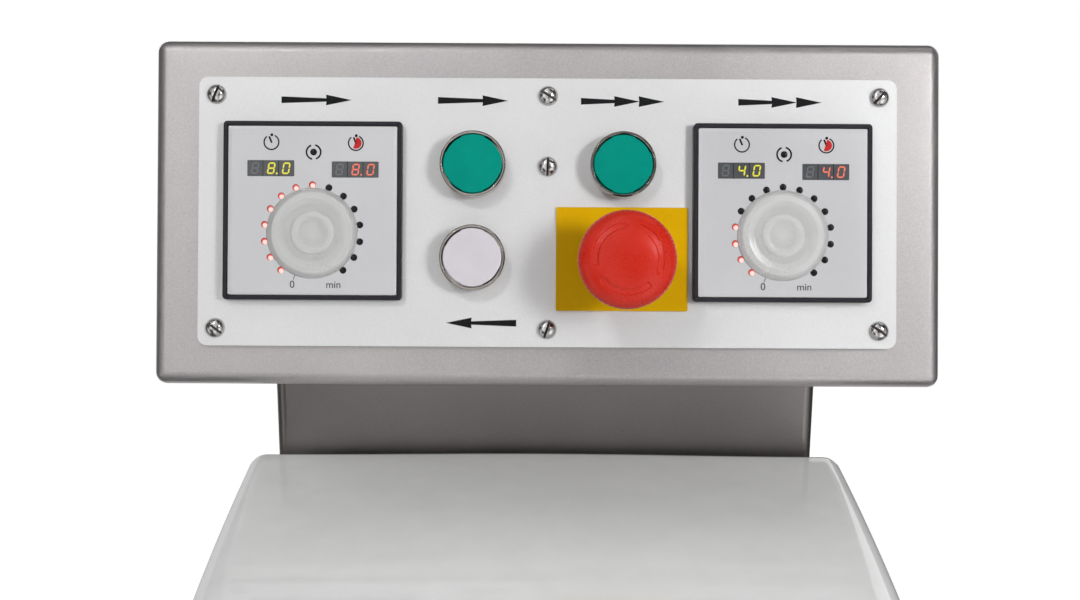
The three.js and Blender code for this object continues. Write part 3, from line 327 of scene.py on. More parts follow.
def finishPiece(name, mesh, finish, body, standsFor=(), bevel=0.0, wall=0.0, crease=32):
    # smooth where faces meet below the crease, in degrees; wall and bevel are millimetres
    mesh.shade_smooth()
    mesh.set_sharp_from_angle(angle=math.radians(crease))
    mesh.materials.clear()
    mesh.materials.append(materials[finish])
    piece = bpy.data.objects.new(name, mesh)
    bpy.context.scene.collection.objects.link(piece)
    if wall:
        solidify = piece.modifiers.new("wall", "SOLIDIFY")
        solidify.thickness = wall / 1000
        solidify.offset = -1
        solidify.use_even_offset = True
    if bevel:
        rounding = piece.modifiers.new("edges", "BEVEL")
        rounding.width = bevel / 1000
        rounding.segments = meshing["roundingSteps"]
        rounding.limit_method = "ANGLE"
        rounding.angle_limit = math.radians(crease)
    piece.modifiers.new("flats", "WEIGHTED_NORMAL").keep_sharp = True
    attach(piece, body)
    if standsFor:
        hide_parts(*standsFor)


# Materials: a colour in two tones, a roughness that varies with it, and a grain in relief
def linearOf(hexColour):
    # sRGB hex to linear: a channel is divided by 12.92 near black and follows a power of 2.4 above it
    channels = np.array([int(hexColour[i : i + 2], 16) for i in (1, 3, 5)]) / 255
    linear = np.where(channels <= 0.04045, channels / 12.92, ((channels + 0.055) / 1.055) ** 2.4)
    return (*linear.tolist(), 1.0)


def addNode(tree, kind, inputs=None, **settings):
    # adds a node, sets its properties, and gives each named input a value or a link
    node = tree.nodes.new(kind)
    for key, value in settings.items():
        setattr(node, key, value)
    for key, value in (inputs or {}).items():
        if isinstance(value, bpy.types.NodeSocket):
            tree.links.new(value, node.inputs[key])
        else:
            node.inputs[key].default_value = value
    return node


def roundTheAxis(tree, place, axis):
    # distance from an upright axis and height, so that a grain along them runs in circles
    flat = addNode(tree, "ShaderNodeMapping", {
        "Vector": place, "Location": (-axis[0], -axis[1], 0), "Scale": (1, 1, 0)})
    reach = addNode(tree, "ShaderNodeVectorMath", {0: flat.outputs["Vector"]}, operation="LENGTH")
    parts = addNode(tree, "ShaderNodeSeparateXYZ", {"Vector": place})
    return addNode(tree, "ShaderNodeCombineXYZ", {
        "X": reach.outputs["Value"], "Z": parts.outputs["Z"]}).outputs["Vector"]


def newMaterial(name):
    # a material whose node tree is still empty
    material = bpy.data.materials.new(name)
    material.use_nodes = True
    material.node_tree.nodes.clear()
    return material, material.node_tree


materials = {}
socketNames = {
    "metallic": "Metallic",
    "ior": "IOR",
    "specular": "Specular IOR Level",
    "coat": "Coat Weight",
    "coatRoughness": "Coat Roughness",
    "subsurface": "Subsurface Weight",
    "subsurfaceScale": "Subsurface Scale",
    "subsurfaceRadius": "Subsurface Radius",
    "glowColour": "Emission Color",
    "glow": "Emission Strength",
}
noiseSpan = {"From Min": 0.32, "From Max": 0.68}  # between these, noise goes from tone to tone


def addLook(name, slot, tones, cloud=8, grain=1.0, grainShare=0.3, roughness=(0.3, 0.4), relief=0.0,
            axis=None, **sockets):
    # clouds a few centimetres wide and a fine grain together choose between the two tones and the
    # two roughness values, and the grain alone gives the relief; sizes are millimetres
    material, tree = newMaterial(name)
    place = addNode(tree, "ShaderNodeTexCoord").outputs["Object"]
    along = roundTheAxis(tree, place, axis) if axis else place
    clouds = addNode(tree, "ShaderNodeTexNoise", {
        "Vector": place, "Scale": 1000 / cloud, "Detail": 3.0, "Roughness": 0.55})
    grains = addNode(tree, "ShaderNodeTexNoise", {
        "Vector": along, "Scale": 1000 / grain, "Detail": 2.0, "Roughness": 0.6})
    both = addNode(tree, "ShaderNodeMix", {
        0: grainShare, 2: clouds.outputs["Fac"], 3: grains.outputs["Fac"]})
    share = addNode(tree, "ShaderNodeMapRange", {"Value": both.outputs[0], **noiseSpan})
    tone = addNode(tree, "ShaderNodeMix", {
        0: share.outputs["Result"], 6: linearOf(tones[0]), 7: linearOf(tones[1])}, data_type="RGBA")
    gloss = addNode(tree, "ShaderNodeMapRange", {
        "Value": both.outputs[0], "To Min": roughness[0], "To Max": roughness[1], **noiseSpan})
    bump = addNode(tree, "ShaderNodeBump", {
        "Strength": 1.0, "Distance": relief / 1000, "Height": grains.outputs["Fac"]})
    shader = addNode(tree, "ShaderNodeBsdfPrincipled", {
        "Base Color": tone.outputs[2], "Roughness": gloss.outputs["Result"],
        "Normal": bump.outputs["Normal"], **{socketNames[key]: value for key, value in sockets.items()}})
    addNode(tree, "ShaderNodeOutputMaterial", {"Surface": shader.outputs["BSDF"]})
    materials[name] = material


bowlCentre = standMiddle("bowl")

# Stainless sheet, bead blasted: craters of a few hundredths scatter the light to a soft grey sheen.
# They are drawn as a grain of 0.8 mm, since their own size is too fine to show.
addLook("blastedStainless", "satin_stainless", ("#aca8a8", "#c2bebe"), cloud=60, grain=0.8,
        grainShare=0.62, roughness=(0.36, 0.5), relief=0.03, metallic=1.0)
# The same sheet on the neck, toned darker as painted shade for the shade it stands in under the console and
# the dim hood it takes in: a darker, smoother grey.
addLook("shadedNeckStainless", "neck_stainless", ("#767271", "#858180"), cloud=70, grain=0.7, grainShare=0.45,
        roughness=(0.34, 0.44), relief=0.02, metallic=1.0)
# Aluminium plate, etched and clear anodised: an even, pale silver satin with the faintest grain. The
# clear oxide over the metal scatters a little light of its own, so it isn't wholly a mirror.
addLook("anodisedAluminium", "anodised_plate", ("#d6d6d7", "#e0e0e0"), cloud=45, grain=0.7,
        grainShare=0.55, roughness=(0.36, 0.46), relief=0.012, metallic=0.4)
# Glass-fibre hood with a sprayed gelcoat: a hard wet gloss over an even light grey, with a long, very
# shallow waviness left by the mould.
addLook("sprayedGelcoat", "hood_shell", ("#dddedd", "#e4e5e4"), cloud=90, grain=14, grainShare=0.5,
        roughness=(0.07, 0.12), relief=0.05, ior=1.5, coat=0.3, coatRoughness=0.04)
# Steel sheet, powder coated: light grey with the small dimples of an orange peel, 2 mm across.
addLook("powderCoat", "painted_steel", ("#c3c4c3", "#cbcccb"), cloud=110, grain=2.2, grainShare=0.35,
        roughness=(0.34, 0.46), relief=0.06, ior=1.5)
# Stainless bar, polished: bright, with a soft cloudiness where the wheel passed.
addLook("polishedStainless", "polished_stainless", ("#c4c3c2", "#d2d1d0"), cloud=40, grain=3,
        grainShare=0.4, roughness=(0.14, 0.24), relief=0.01, metallic=1.0)
# Stainless bowl, spun and brushed as it turned: fine circles about the bowl's axis, drawn 1.2 mm apart.
addLook("spunStainless", "bowl_stainless", ("#bebdbc", "#cfcecd"), cloud=80, grain=1.2, grainShare=0.7,
        roughness=(0.2, 0.34), relief=0.02, axis=tuple(bowlCentre / 1000),
        metallic=1.0)
# Chromium plate on brass: a clear, slightly warm mirror, toned darker and browner than bright chrome as a
# painted darkening for the dark reflections of shaded plate and surroundings in its rounded edges.
addLook("chromePlate", "chrome_ring", ("#a39d98", "#b1aba6"), cloud=20, grain=4, grainShare=0.4,
        roughness=(0.05, 0.11), relief=0.004, metallic=1.0)
# Steel screws, zinc plated and cleared: bright, with small rubs from the driver.
addLook("zincPlate", "screw_steel", ("#b3b1b0", "#c4c2c1"), cloud=6, grain=0.8, grainShare=0.5,
        roughness=(0.14, 0.24), relief=0.006, metallic=1.0)
# A dark bar laid in the floor of each screw's slot as painted shade, for the shade the narrow slot holds: a
# brownish, dull dark steel.
addLook("paintedSlotShade", "screw_steel", ("#3a3431", "#4a4340"), cloud=6, grain=0.8, grainShare=0.5,
        roughness=(0.5, 0.6), relief=0.004, metallic=0.6)
# ABS, moulded against spark-eroded steel: black with a fine matt texture, 0.6 mm.
addLook("mouldedBlackAbs", "black_plastic", ("#1f1d22", "#29272c"), cloud=30, grain=0.6, grainShare=0.5,
        roughness=(0.38, 0.5), relief=0.012, ior=1.53, specular=0.2)
# Polycarbonate window film, printed pale silver behind: a flat, cool grey under a clear gloss.
addLook("filmPolycarbonate", "timer_pane", ("#c1c1c4", "#c9c9cb"), cloud=50, grain=2.0, grainShare=0.2,
        roughness=(0.3, 0.36), ior=1.58, coat=1.0, coatRoughness=0.05)
# Polycarbonate dial, moulded clear with a white haze: milky, light passes into its edges.
addLook("hazedPolycarbonate", "dial_plastic", ("#cbcbca", "#d1d1d0"), cloud=25, roughness=(0.26, 0.34),
        relief=0.004, ior=1.58, subsurface=0.9, subsurfaceScale=0.005, subsurfaceRadius=(1.0, 1.0, 1.0))
# Polyamide lenses, moulded and dyed through: flat, saturated, with a satin face.
addLook("mouldedGreenPolyamide", "green_cap", ("#008777", "#009282"), cloud=12, grain=0.7,
        roughness=(0.3, 0.38), relief=0.004, ior=1.53, specular=0.08)
addLook("mouldedWhitePolyamide", "white_cap", ("#cbc7cd", "#d3ced5"), cloud=12, grain=0.7,
        roughness=(0.3, 0.38), relief=0.004, ior=1.53)
# Mushroom head, moulded in red polyamide with an eroded texture that breaks the shine up, 0.7 mm.
addLook("mouldedRedPolyamide", "red_mushroom", ("#bd2011", "#c72a19"), cloud=14, grain=0.7,
        grainShare=0.5, roughness=(0.24, 0.34), relief=0.035, ior=1.53, specular=0.3)
# Label plate, aluminium with baked yellow enamel: a flat, warm yellow with a soft shine.
addLook("enamelledLabel", "yellow_label", ("#cf9f00", "#d9a900"), cloud=25, grain=0.8, grainShare=0.35,
        roughness=(0.32, 0.4), relief=0.006, ior=1.5, specular=0.08)
# Screen printing ink: black and dead flat.
addLook("printedInk", "black_plastic", ("#0d0d0e", "#151516"), grain=0.5, grainShare=0.5,
        roughness=(0.5, 0.62), relief=0.002, specular=0.15)
addLook("printedRedInk", "red_mushroom", ("#b3191a", "#bd2020"), grain=0.5, grainShare=0.5,
        roughness=(0.45, 0.55), relief=0.002)
addLook("printedGreyInk", "black_plastic", ("#2a2a2d", "#333336"), grain=0.5, grainShare=0.5,
        roughness=(0.45, 0.55), relief=0.002)
# Smoked acrylic over the figures: a dark grey glass.
addLook("smokedAcrylic", "black_plastic", ("#4c4e51", "#55575a"), roughness=(0.1, 0.16), ior=1.49)
addLook("unlitSegment", "black_plastic", ("#66686a", "#6b6d6f"), roughness=(0.2, 0.3))
# Lit figures and lamps: dyed epoxy that glows a little brighter than what stands round it.
addLook("litYellowSegment", "yellow_label", ("#3a3a10", "#444414"), glowColour=linearOf("#ece339"),
        glow=0.95)
addLook("litRedSegment", "red_mushroom", ("#3c1a14", "#461e18"), glowColour=linearOf("#f5785f"),
        glow=0.95)
# A lit lamp's rim is a darker, dimmer red; with its glow and core set off to the lower right it shows as a
# crescent of painted shade on the upper left, where the wall round the lamp shades it.
addLook("litLampShadedRim", "red_mushroom", ("#6a1512", "#731a17"), glowColour=linearOf("#8c1d18"), glow=0.25)
addLook("litLampGlow", "red_mushroom", ("#8a2a24", "#93322c"), glowColour=linearOf("#e8564a"), glow=0.65)
addLook("litLampCore", "white_cap", ("#b08a86", "#b8928e"), glowColour=linearOf("#f8cfc4"), glow=0.8)
addLook("unlitLamp", "black_plastic", ("#0c0c0e", "#121214"), roughness=(0.18, 0.28), specular=0.25)
# Grey iron, cast in sand and oiled: dark, with a coarse skin of 2.5 mm.
addLook("oiledCastIron", "cast_iron", ("#494c50", "#5d6065"), cloud=35, grain=2.5, grainShare=0.6,
        roughness=(0.42, 0.62), relief=0.12, metallic=0.6)
# Motor housings, brushed with machine enamel: blue grey, slightly uneven.
addLook("brushedEnamel", "motor_paint", ("#48606f", "#557080"), cloud=50, grain=3, grainShare=0.4,
        roughness=(0.32, 0.46), relief=0.06, ior=1.5)
# Polyamide cable gland, moulded: black, smooth, a little waxy.
addLook("mouldedPolyamide", "black_plastic", ("#1d1d1f", "#252528"), cloud=15, grain=0.8, grainShare=0.4,
        roughness=(0.34, 0.44), relief=0.006, ior=1.53)
# Rubber, moulded: black and dull, with a bloom of grey.
addLook("mouldedRubber", "rubber", ("#1c1c1d", "#282829"), cloud=30, grain=1.2, grainShare=0.5,
        roughness=(0.68, 0.84), relief=0.03)
print("materials:", len(materials))

# Stage: pale floor, white surroundings, soft lamps and a tent of cards that gloss reflects
stage = {
    "floor": 30.0,  # metres, half its side
    "floorLevel": -0.0002,  # metres, just under the feet
    "floorTone": "#e6e6e6",
    "floorGlow": 0.85,  # what a ray from the camera or off metal sees besides the lit floor
    "ambient": 0.2,  # strength of the surroundings as light
    "seen": 1.0,  # strength at which they are seen
}


def raysThatSee(tree):
    # 1 for rays from the camera, off gloss and through glass, and 0 for the rest
    path = addNode(tree, "ShaderNodeLightPath")
    two = addNode(tree, "ShaderNodeMath", {
        0: path.outputs["Is Camera Ray"], 1: path.outputs["Is Glossy Ray"]}, operation="MAXIMUM")
    three = addNode(tree, "ShaderNodeMath", {
        0: two.outputs["Value"], 1: path.outputs["Is Transmission Ray"]}, operation="MAXIMUM")
    return three.outputs["Value"]


world = bpy.data.worlds.new("surroundings")
world.use_nodes = True
world.node_tree.nodes.clear()
sky = addNode(world.node_tree, "ShaderNodeMapRange", {
    "Value": raysThatSee(world.node_tree), "To Min": stage["ambient"], "To Max": stage["seen"]})
back = addNode(world.node_tree, "ShaderNodeBackground", {
    "Color": (1, 1, 1, 1), "Strength": sky.outputs["Result"]})
addNode(world.node_tree, "ShaderNodeOutputWorld", {"Surface": back.outputs["Background"]})
bpy.context.scene.world = world

floorMaterial, floorTree = newMaterial("paleFloor")
floorGlow = addNode(floorTree, "ShaderNodeMath", {
    0: raysThatSee(floorTree), 1: stage["floorGlow"]}, operation="MULTIPLY")
floorShade = addNode(floorTree, "ShaderNodeBsdfDiffuse", {"Color": linearOf(stage["floorTone"])})
floorLight = addNode(floorTree, "ShaderNodeEmission", {"Strength": floorGlow.outputs["Value"]})
floorBoth = addNode(floorTree, "ShaderNodeAddShader", {
    0: floorShade.outputs["BSDF"], 1: floorLight.outputs["Emission"]})
addNode(floorTree, "ShaderNodeOutputMaterial", {"Surface": floorBoth.outputs["Shader"]})

cardMaterial, cardTree = newMaterial("glowingCard")
cardGlow = addNode(cardTree, "ShaderNodeAttribute", attribute_name="glow")
cardLight = addNode(cardTree, "ShaderNodeEmission", {"Strength": cardGlow.outputs["Fac"]})
addNode(cardTree, "ShaderNodeOutputMaterial", {"Surface": cardLight.outputs["Emission"]})


def stageMesh(name, points, faces, material):
    # something that is only lit or seen, and isn't part of the machine
    mesh = bpy.data.meshes.new(name)
    mesh.from_pydata(points, [], faces)
    mesh.materials.append(material)
    holder = bpy.data.objects.new(name, mesh)
    bpy.context.scene.collection.objects.link(holder)
    return holder


floorCorners = atLevel(np.array([(-1, -1), (1, -1), (1, 1), (-1, 1)]) * stage["floor"], stage["floorLevel"])
stageMesh("floor", floorCorners.tolist(), [(0, 1, 2, 3)], floorMaterial)

tent = {
    "centre": (0.0, 0.1, 1.05),
    "radius": 1.6,
    "foot": 0.01,
    # degrees round from the front, to the right
    "turns": (-180, -115, -75, -45, -18, 0, 18, 45, 75, 115, 180),
    "rises": (-89, -36, 5, 28, 50, 89),  # degrees above level
    "glow": [  # brightness of each card, row by row from the lowest
        (0.95, 0.11, 0.11, 0.10, 0.10, 0.10, 0.10, 0.23, 0.23, 0.95),
        (0.43, 0.11, 0.85, 0.02, 1.35, 0.60, 1.80, 0.80, 0.11, 0.11),
        (0.11, 0.11, 0.07, 1.50, 0.90, 0.05, 2.47, 0.50, 0.11, 1.00),
        (0.12, 0.36, 0.60, 2.47, 1.10, 0.75, 2.20, 0.02, 0.11, 0.11),
        (0.25, 0.13, 0.45, 1.98, 1.04, 1.04, 0.02, 0.02, 1.23, 0.14),
    ],
    "parts": 4,  # each card is drawn this many faces wide and high
    "sparks": [(2, 6, 3, 2), (3, 6, 0, 2), (3, 3, 2, 2)],  # row and column of a card and of a face in it
    "gathered": 0.7,  # share of such a card's glow that comes from that one face
}


def finer(degrees, parts):
    # every stretch between two angles is cut into equal parts
    steps = np.arange((len(degrees) - 1) * parts + 1) / parts
    return np.radians(np.interp(steps, np.arange(len(degrees)), degrees))


def hangTent(look):
    # a sphere's latitudes and longitudes, laid flat where it meets the floor; only gloss sees it, so it
    # draws the sheen and the dark lines along the steel's rounded edges and lights nothing else
    parts = look["parts"]
    turn, rise = np.meshgrid(finer(look["turns"], parts), finer(look["rises"], parts))
    ball = np.stack([np.sin(turn) * np.cos(rise), -np.cos(turn) * np.cos(rise), np.sin(rise)], -1)
    ball = ball * look["radius"] + look["centre"]
    ball[..., 2] = np.maximum(ball[..., 2], look["foot"])
    points, faces = gridShape(ball, wrap=False)
    holder = stageMesh("tent", points.tolist(), faces, cardMaterial)
    glow = np.kron(look["glow"], np.ones((parts, parts)))
    for row, column, faceRow, faceColumn in look["sparks"]:
        card = glow[row * parts:(row + 1) * parts, column * parts:(column + 1) * parts]
        spark = look["gathered"] * card.sum()
        card *= 1 - look["gathered"]
        card[faceRow, faceColumn] += spark
    holder.data.attributes.new("glow", "FLOAT", "FACE").data.foreach_set("value", glow.ravel())
    holder.visible_camera = False
    holder.visible_diffuse = False
    holder.visible_shadow = False
    holder.visible_transmission = False


hangTent(tent)

lamps = {  # they light what is matt, and gloss doesn't see them
    "leftSpot": {"at": (-0.345, -0.79, 1.81), "size": (0.12, 0.12), "watts": 3.9},
    "rightSoftbox": {"at": (0.65, -0.87, 1.42), "size": (0.25, 0.25), "watts": 9.8},
    "leftRim": {"at": (-1.1, 0.35, 1.15), "size": (0.3, 0.8), "watts": 8.0},
    "rightRim": {"at": (1.1, 0.35, 1.15), "size": (0.3, 0.8), "watts": 2.0},
}
lampAim = (0.0, 0.12, 1.05)
standLamps = {  # four gridded softboxes round the stand, kept off the console by their narrow spread
    "watts": 0.45,
    "size": (0.6, 0.6),
    "spread": 40,  # degrees
    "height": 0.3,
    "reach": 1.9,
    "ways": {"front": (0, -1), "rear": (0, 1), "left": (-1, 0), "right": (1, 0)},
}
for way, (x, y) in standLamps["ways"].items():
    at = (standLamps["reach"] * x, standLamps["reach"] * y, standLamps["height"])
    lamps[way + "StandLamp"] = {**standLamps, "at": at, "aim": (0.0, 0.0, standLamps["height"])}
for lampName, lamp in lamps.items():
    data = bpy.data.lights.new(lampName, "AREA")
    data.shape = "RECTANGLE"
    data.size, data.size_y = lamp["size"]
    data.energy = lamp["watts"]
    data.spread = math.radians(lamp.get("spread", 180))
    light = bpy.data.objects.new(lampName, data)
    bpy.context.scene.collection.objects.link(light)
    light.visible_glossy = False
    away = np.array(lamp["at"]) - np.array(lamp.get("aim", lampAim))
    away /= np.linalg.norm(away)
    across = np.cross((0, 0, 1), away)
    across /= np.linalg.norm(across)
    turn = Matrix(np.stack([across, np.cross(away, across), away], 1).tolist()).to_4x4()
    light.matrix_world = Matrix.Translation(lamp["at"]) @ turn
print("stage: floor, tent and", len(lamps), "lamps")

meetingGap = 0.02  # between faces that would otherwise lie in one plane

# Console: a box of folded sheet with rounded edges, open behind the face plate
consoleBox = {
    "bend": 5.2,
    "corner": 5.0,
    "leastCorner": 0.5,
    "sheet": 2.0,
    "flatEdge": 9.0,  # from the box's sides to where its front is wholly flat
    "room": 3.0,  # round the cases in the front opening
    "openingCorner": 2.0,
    "strip": 22.0,  # the upright between its two halves
    "wider": 0.95,  # than the CAD box
    "shift": 0.22,  # to the right of it
    "coverLip": 4.0,  # height of the cover's rim, which stands inside the box
    "coverGap": 0.6,
    "coverBends": [0.8, 0.4],
    "coverEdge": 0.9,  # from the cover's sides to where it is flat
    "coverFlat": 6.0,
    "coverMiddle": (30.0, 10.0, 1.0),  # width, height and corner of the patch that closes it
}


def buildConsole(look):
    # each ring is the box's outline drawn in by an inset and set at a level: the shell runs round its
    # front bend to the opening and back along the inside, and the cover from its middle to its rim
    low, high = panelBox("console_housing")
    width, height = (high - low)[:2]
    front, rear, sheet, bend = high[2], low[2], look["sheet"], look["bend"]
    caseHigh = panelBox("fast_timer_case")[1]
    blockHigh = panelBox("fast_start_contacts")[1]
    openHalf = caseHigh[0] + look["room"]
    openRise = max(caseHigh[1], blockHigh[1], -panelBox("stop_contacts")[0][1]) + look["room"]
    edge = look["flatEdge"]
    outside = filleted([(0, rear), (0, front), (edge, front)], [bend], 8)
    inside = filleted([(edge, front - sheet), (sheet, front - sheet), (sheet, rear)], [bend - sheet], 5)

    def ring(inset, level):
        corner = max(look["corner"] - inset, look["leastCorner"])
        wide = width + look["wider"] - 2 * inset
        return atLevel(roundedRing(wide, height - 2 * inset, corner, look["shift"], 0), level)

    opening = roundedRing(2 * openHalf, 2 * openRise, look["openingCorner"])
    rings = [ring(inset, level) for inset, level in outside]
    rings += [atLevel(opening, front), atLevel(opening, front - sheet)]
    rings += [ring(inset, level) for inset, level in [*inside, outside[0]]]
    strip = roundedRing(look["strip"], 2 * openRise + sheet, look["leastCorner"])
    shape = joined(gridShape(rings), slab([strip], front - sheet, front - meetingGap))
    panelPiece("console_shell", shape, "blastedStainless", standsFor=["console_housing"])

    rimTop = panelBox("console_cover")[1][2]
    bottom = rimTop - look["coverLip"] - sheet
    top = bottom + sheet
    lip = 2 * sheet + look["coverGap"]
    corners = [(look["coverEdge"], bottom), (0, bottom), (0, top), (look["coverEdge"], top)]
    section = [(look["coverFlat"], bottom), *filleted(corners, look["coverBends"], 4), (lip, top)]
    section += [(lip, rimTop), (lip + sheet, rimTop), (lip + sheet, top)]
    middle = roundedRing(*look["coverMiddle"])
    rings = [atLevel(middle, bottom), *[ring(inset, level) for inset, level in section], atLevel(middle, top)]
    cover = gridShape(rings, ends=True)
    panelPiece("console_back", cover, "blastedStainless", standsFor=["console_cover"])


buildConsole(consoleBox)

# Face plate, with its holes, its printed arrows and its slotted screws
facePlate = {
    "corner": 4.0,
    "edge": 0.45,
    "caseGap": 0.6,
    "caseCorner": 0.5,
    "buttonHole": 11.2,
    "screwHole": 2.5,
}
plateTop = panelBox("face_plate")[1][2]
screwCount = 7
buttonNames = ("slow_start", "fast_start", "bowl_reverse")
timerNames = ("slow_timer", "fast_timer")


def buildFacePlate(look):
    # a rounded rectangle less a hole for every button, clock case and screw
    low, high = panelBox("face_plate")
    width, height = (high - low)[:2]
    holes = [circleRing(look["buttonHole"], *panelMiddle(name + "_ring")[:2]) for name in buttonNames]
    holes.append(circleRing(look["buttonHole"], *panelMiddle("stop_collar")[:2]))
    for name in timerNames:
        caseLow, caseHigh = panelBox(name + "_case")
        size = caseHigh[0] - caseLow[0] + look["caseGap"]
        holes.append(roundedRing(size, size, look["caseCorner"], *panelMiddle(name + "_case")[:2], steps=2))
    screws = [panelMiddle(f"plate_screw_{number + 1}") for number in range(screwCount)]
    holes += [circleRing(look["screwHole"], screw[0], screw[1], 24) for screw in screws]
    shape = slab([roundedRing(width, height, look["corner"], steps=12), *holes], low[2], high[2])
    panelPiece("control_plate", shape, "anodisedAluminium", standsFor=["face_plate"], bevel=look["edge"])


buildFacePlate(facePlate)

arrows = {
    "lift": 0.01,  # the ink's underside above the plate
    "ink": 0.06,  # and its top
    "shaft": 18.95,
    "doubleShaft": 14.1,
    "tail": 2.85,
    "neck": 1.36,
    "head": 10.95,
    "headWidth": 4.6,
    "notch": 0.25,
    "neckOverlap": 0.8,  # of the shaft into the first head
    "headOverlap": 0.5,
    "places": [  # x, y, heads, and the way they point
        (-98.5, 47.5, 1, 1),
        (-31.9, 47.55, 1, 1),
        (32.0, 47.5, 2, 1),
        (98.95, 47.45, 2, 1),
        (-28.0, -47.1, 1, -1),
    ],
}


def buildArrows(look):
    # each is a shaft that tapers to its neck and one or two notched heads, about the arrow's middle
    shapes = []
    tail, neck, side, head = look["tail"] / 2, look["neck"] / 2, look["headWidth"] / 2, look["head"]
    for x, y, heads, way in look["places"]:
        shaft = look["shaft"] if heads == 1 else look["doubleShaft"]
        start = -(shaft + heads * head) / 2
        end = start + shaft + look["neckOverlap"]
        outlines = [[(start, -tail), (end, -neck), (end, neck), (start, tail)]]
        for i in range(heads):
            base = start + shaft + i * (head - look["headOverlap"])
            outlines.append([(base, -side), (base + head, 0), (base, side), (base + look["notch"], 0)])
        for outline in outlines:
            placed = np.array([x, y]) + np.array(outline) * (way, 1)
            shapes.append(slab([placed], plateTop + look["lift"], plateTop + look["ink"]))
    panelPiece("printed_arrows", joined(*shapes), "printedInk")


buildArrows(arrows)

screwHead = {
    "wider": 0.28,  # than the CAD screw, at its rim
    "slotFloor": 0.12,  # share of the head's height
    "slot": 1.05,
    "shadeReach": 0.92,  # share of the head's radius that the slot's painted shade covers
    "shadeNarrower": 0.1,  # than the slot
    "shadeThickness": 0.05,
    "roundness": 2.6,
    "fullness": 0.5,
    "slotTurns": (68, -32, 48, 88, -38, 72, -35),
    "shank": 2.0,
    "shankEnd": 0.4,
}


def buildScrew(number, look):
    # the head is a dome, height x (1 - (r / R)^2.6)^0.5, drawn as cuts across the slot: every cut is
    # a closed loop, under the dome and along its foot, and inside the slot a flat floor replaces it
    name = f"plate_screw_{number + 1}"
    low, high = panelBox(name)
    x, y = panelMiddle(name)[:2]
    radius = (high[0] - low[0]) / 2 + look["wider"]
    foot = plateTop + meetingGap
    height = high[2] - foot - meetingGap
    half = look["slot"] / 2
    cuts = 12  # on each side of the slot
    outer = radius * np.sin(np.linspace(math.asin(half / radius), math.pi / 2, cuts))
    across = np.concatenate([-outer[::-1], np.linspace(-half, half, 4), outer])
    reach = np.sqrt(np.maximum(radius**2 - across**2, 0))
    along = reach[:, None] * np.sin(np.linspace(-math.pi / 2, math.pi / 2, 22))
    far = np.minimum(np.hypot(across[:, None], along) / radius, 1)
    level = height * (1 - far ** look["roundness"]) ** look["fullness"]
    level[cuts:-cuts] = np.minimum(level[cuts:-cuts], height * look["slotFloor"])
    top = np.stack([np.broadcast_to(across[:, None], along.shape), along, level], -1)
    under = top[:, -2:0:-1] * (1, 1, 0)
    points, faces = gridShape(np.concatenate([top, under], 1))
    turn = math.radians(look["slotTurns"][number] - 90)
    right, up = (math.cos(turn), math.sin(turn), 0), (-math.sin(turn), math.cos(turn), 0)
    head = points @ np.array([right, up, (0, 0, 1)]) + (x, y, foot), faces
    end = foot - meetingGap
    corners = [(0, low[2]), (look["shank"], low[2]), (look["shank"], end), (0, end)]
    shank = lathed(corners, [look["shankEnd"], 0.0], 3, x, y, 24)
    panelPiece(name + "_head", joined(head, shank), "zincPlate", standsFor=[name])


def buildSlotShade(look):
    # a dark bar of painted shade on the floor of each slot
    shapes = []
    for number, turn in enumerate(np.radians(look["slotTurns"])):
        name = f"plate_screw_{number + 1}"
        low, high = panelBox(name)
        middle = panelMiddle(name)[:2]
        reach = (high[0] - low[0]) / 2 * look["shadeReach"] * np.array([math.cos(turn), math.sin(turn)])
        bar = ribbonOutline(np.array([middle - reach, middle + reach]), look["slot"] - look["shadeNarrower"])
        foot = plateTop + meetingGap
        level = foot + (high[2] - foot) * look["slotFloor"] + meetingGap
        shapes.append(slab([bar], level, level + look["shadeThickness"]))
    panelPiece("plate_screw_slot_shade", joined(*shapes), "paintedSlotShade")


for screwNumber in range(screwCount):
    buildScrew(screwNumber, screwHead)
buildSlotShade(screwHead)
print("console: box, plate, arrows and screws")

# Timers: frame, pane, printed marks, figures, lamps and dial
timer = {
    "frameCorner": 1.6,
    "frameBends": [0.0, 0.55, 0.4, 0.0],
    "frameSunk": 0.25,  # below the plate's top
    "border": 1.8,
    "paneCorner": 0.6,
    "paneBevel": (1.5, 0.35),  # width and fall of the pane's sloping border
    "stemHole": 3.5,
    "lift": 0.01,  # of everything printed, above the pane
    "ink": 0.04,
    "clock": {"radius": 3.1, "stroke": 0.58, "arc": (65, -231), "dot": 0.62, "hand": 2.45, "handLean": 0.4,
              "handFoot": (0.15, -0.25), "handStroke": 0.75, "sector": 0.78, "sectorArc": (84, -118),
              "sectorTip": (-0.3, 0.1)},
    "clockPlaces": [(-17.4, 28.7, False), (18.2, 28.5, True)],  # x, y, and whether it is partly filled
    "lampMark": {"at": (0.4, 24.6), "radius": 3.0, "stroke": 0.72, "starts": (-70, 110), "arc": 148},
    "figures": {"size": (19.8, 6.8), "corner": 0.3, "glyph": (2.5, 4.3), "stroke": 0.62, "slant": 0.16,
                "divider": (0.22, 0.05), "shifts": (0.0, 0.2, -0.1), "point": (2.55, -2.2, 0.42)},
    "layers": {"windows": (0.0, 0.06), "dividers": (0.07, 0.04), "ghosts": (0.08, 0.03), "lit": (0.08, 0.04)},
    "figurePlaces": [(-17.6, 17.7, "litYellowSegment"), (18.0, 17.3, "litRedSegment")],
    "lampCircle": 20.4,
    "lampRadius": 1.46,
    "lampSteps": (-140, 140, 15),  # degrees from the top, clockwise, and how many
    "labels": {"zero": ("0", -8.3, -31.4, 3.25), "minutes": ("min", 9.1, -31.4, 3.2)},
    "tick": ((-7.15, -27.3), (-7.85, -29.3)),
    "tickStroke": 0.3,
}
segmentSets = {"8": "abcdefg", "0": "abcdef", "4": "bcfg"}
readings = {"slow_timer": ("8", 8), "fast_timer": ("4", 4)}  # minutes shown, and lamps lit
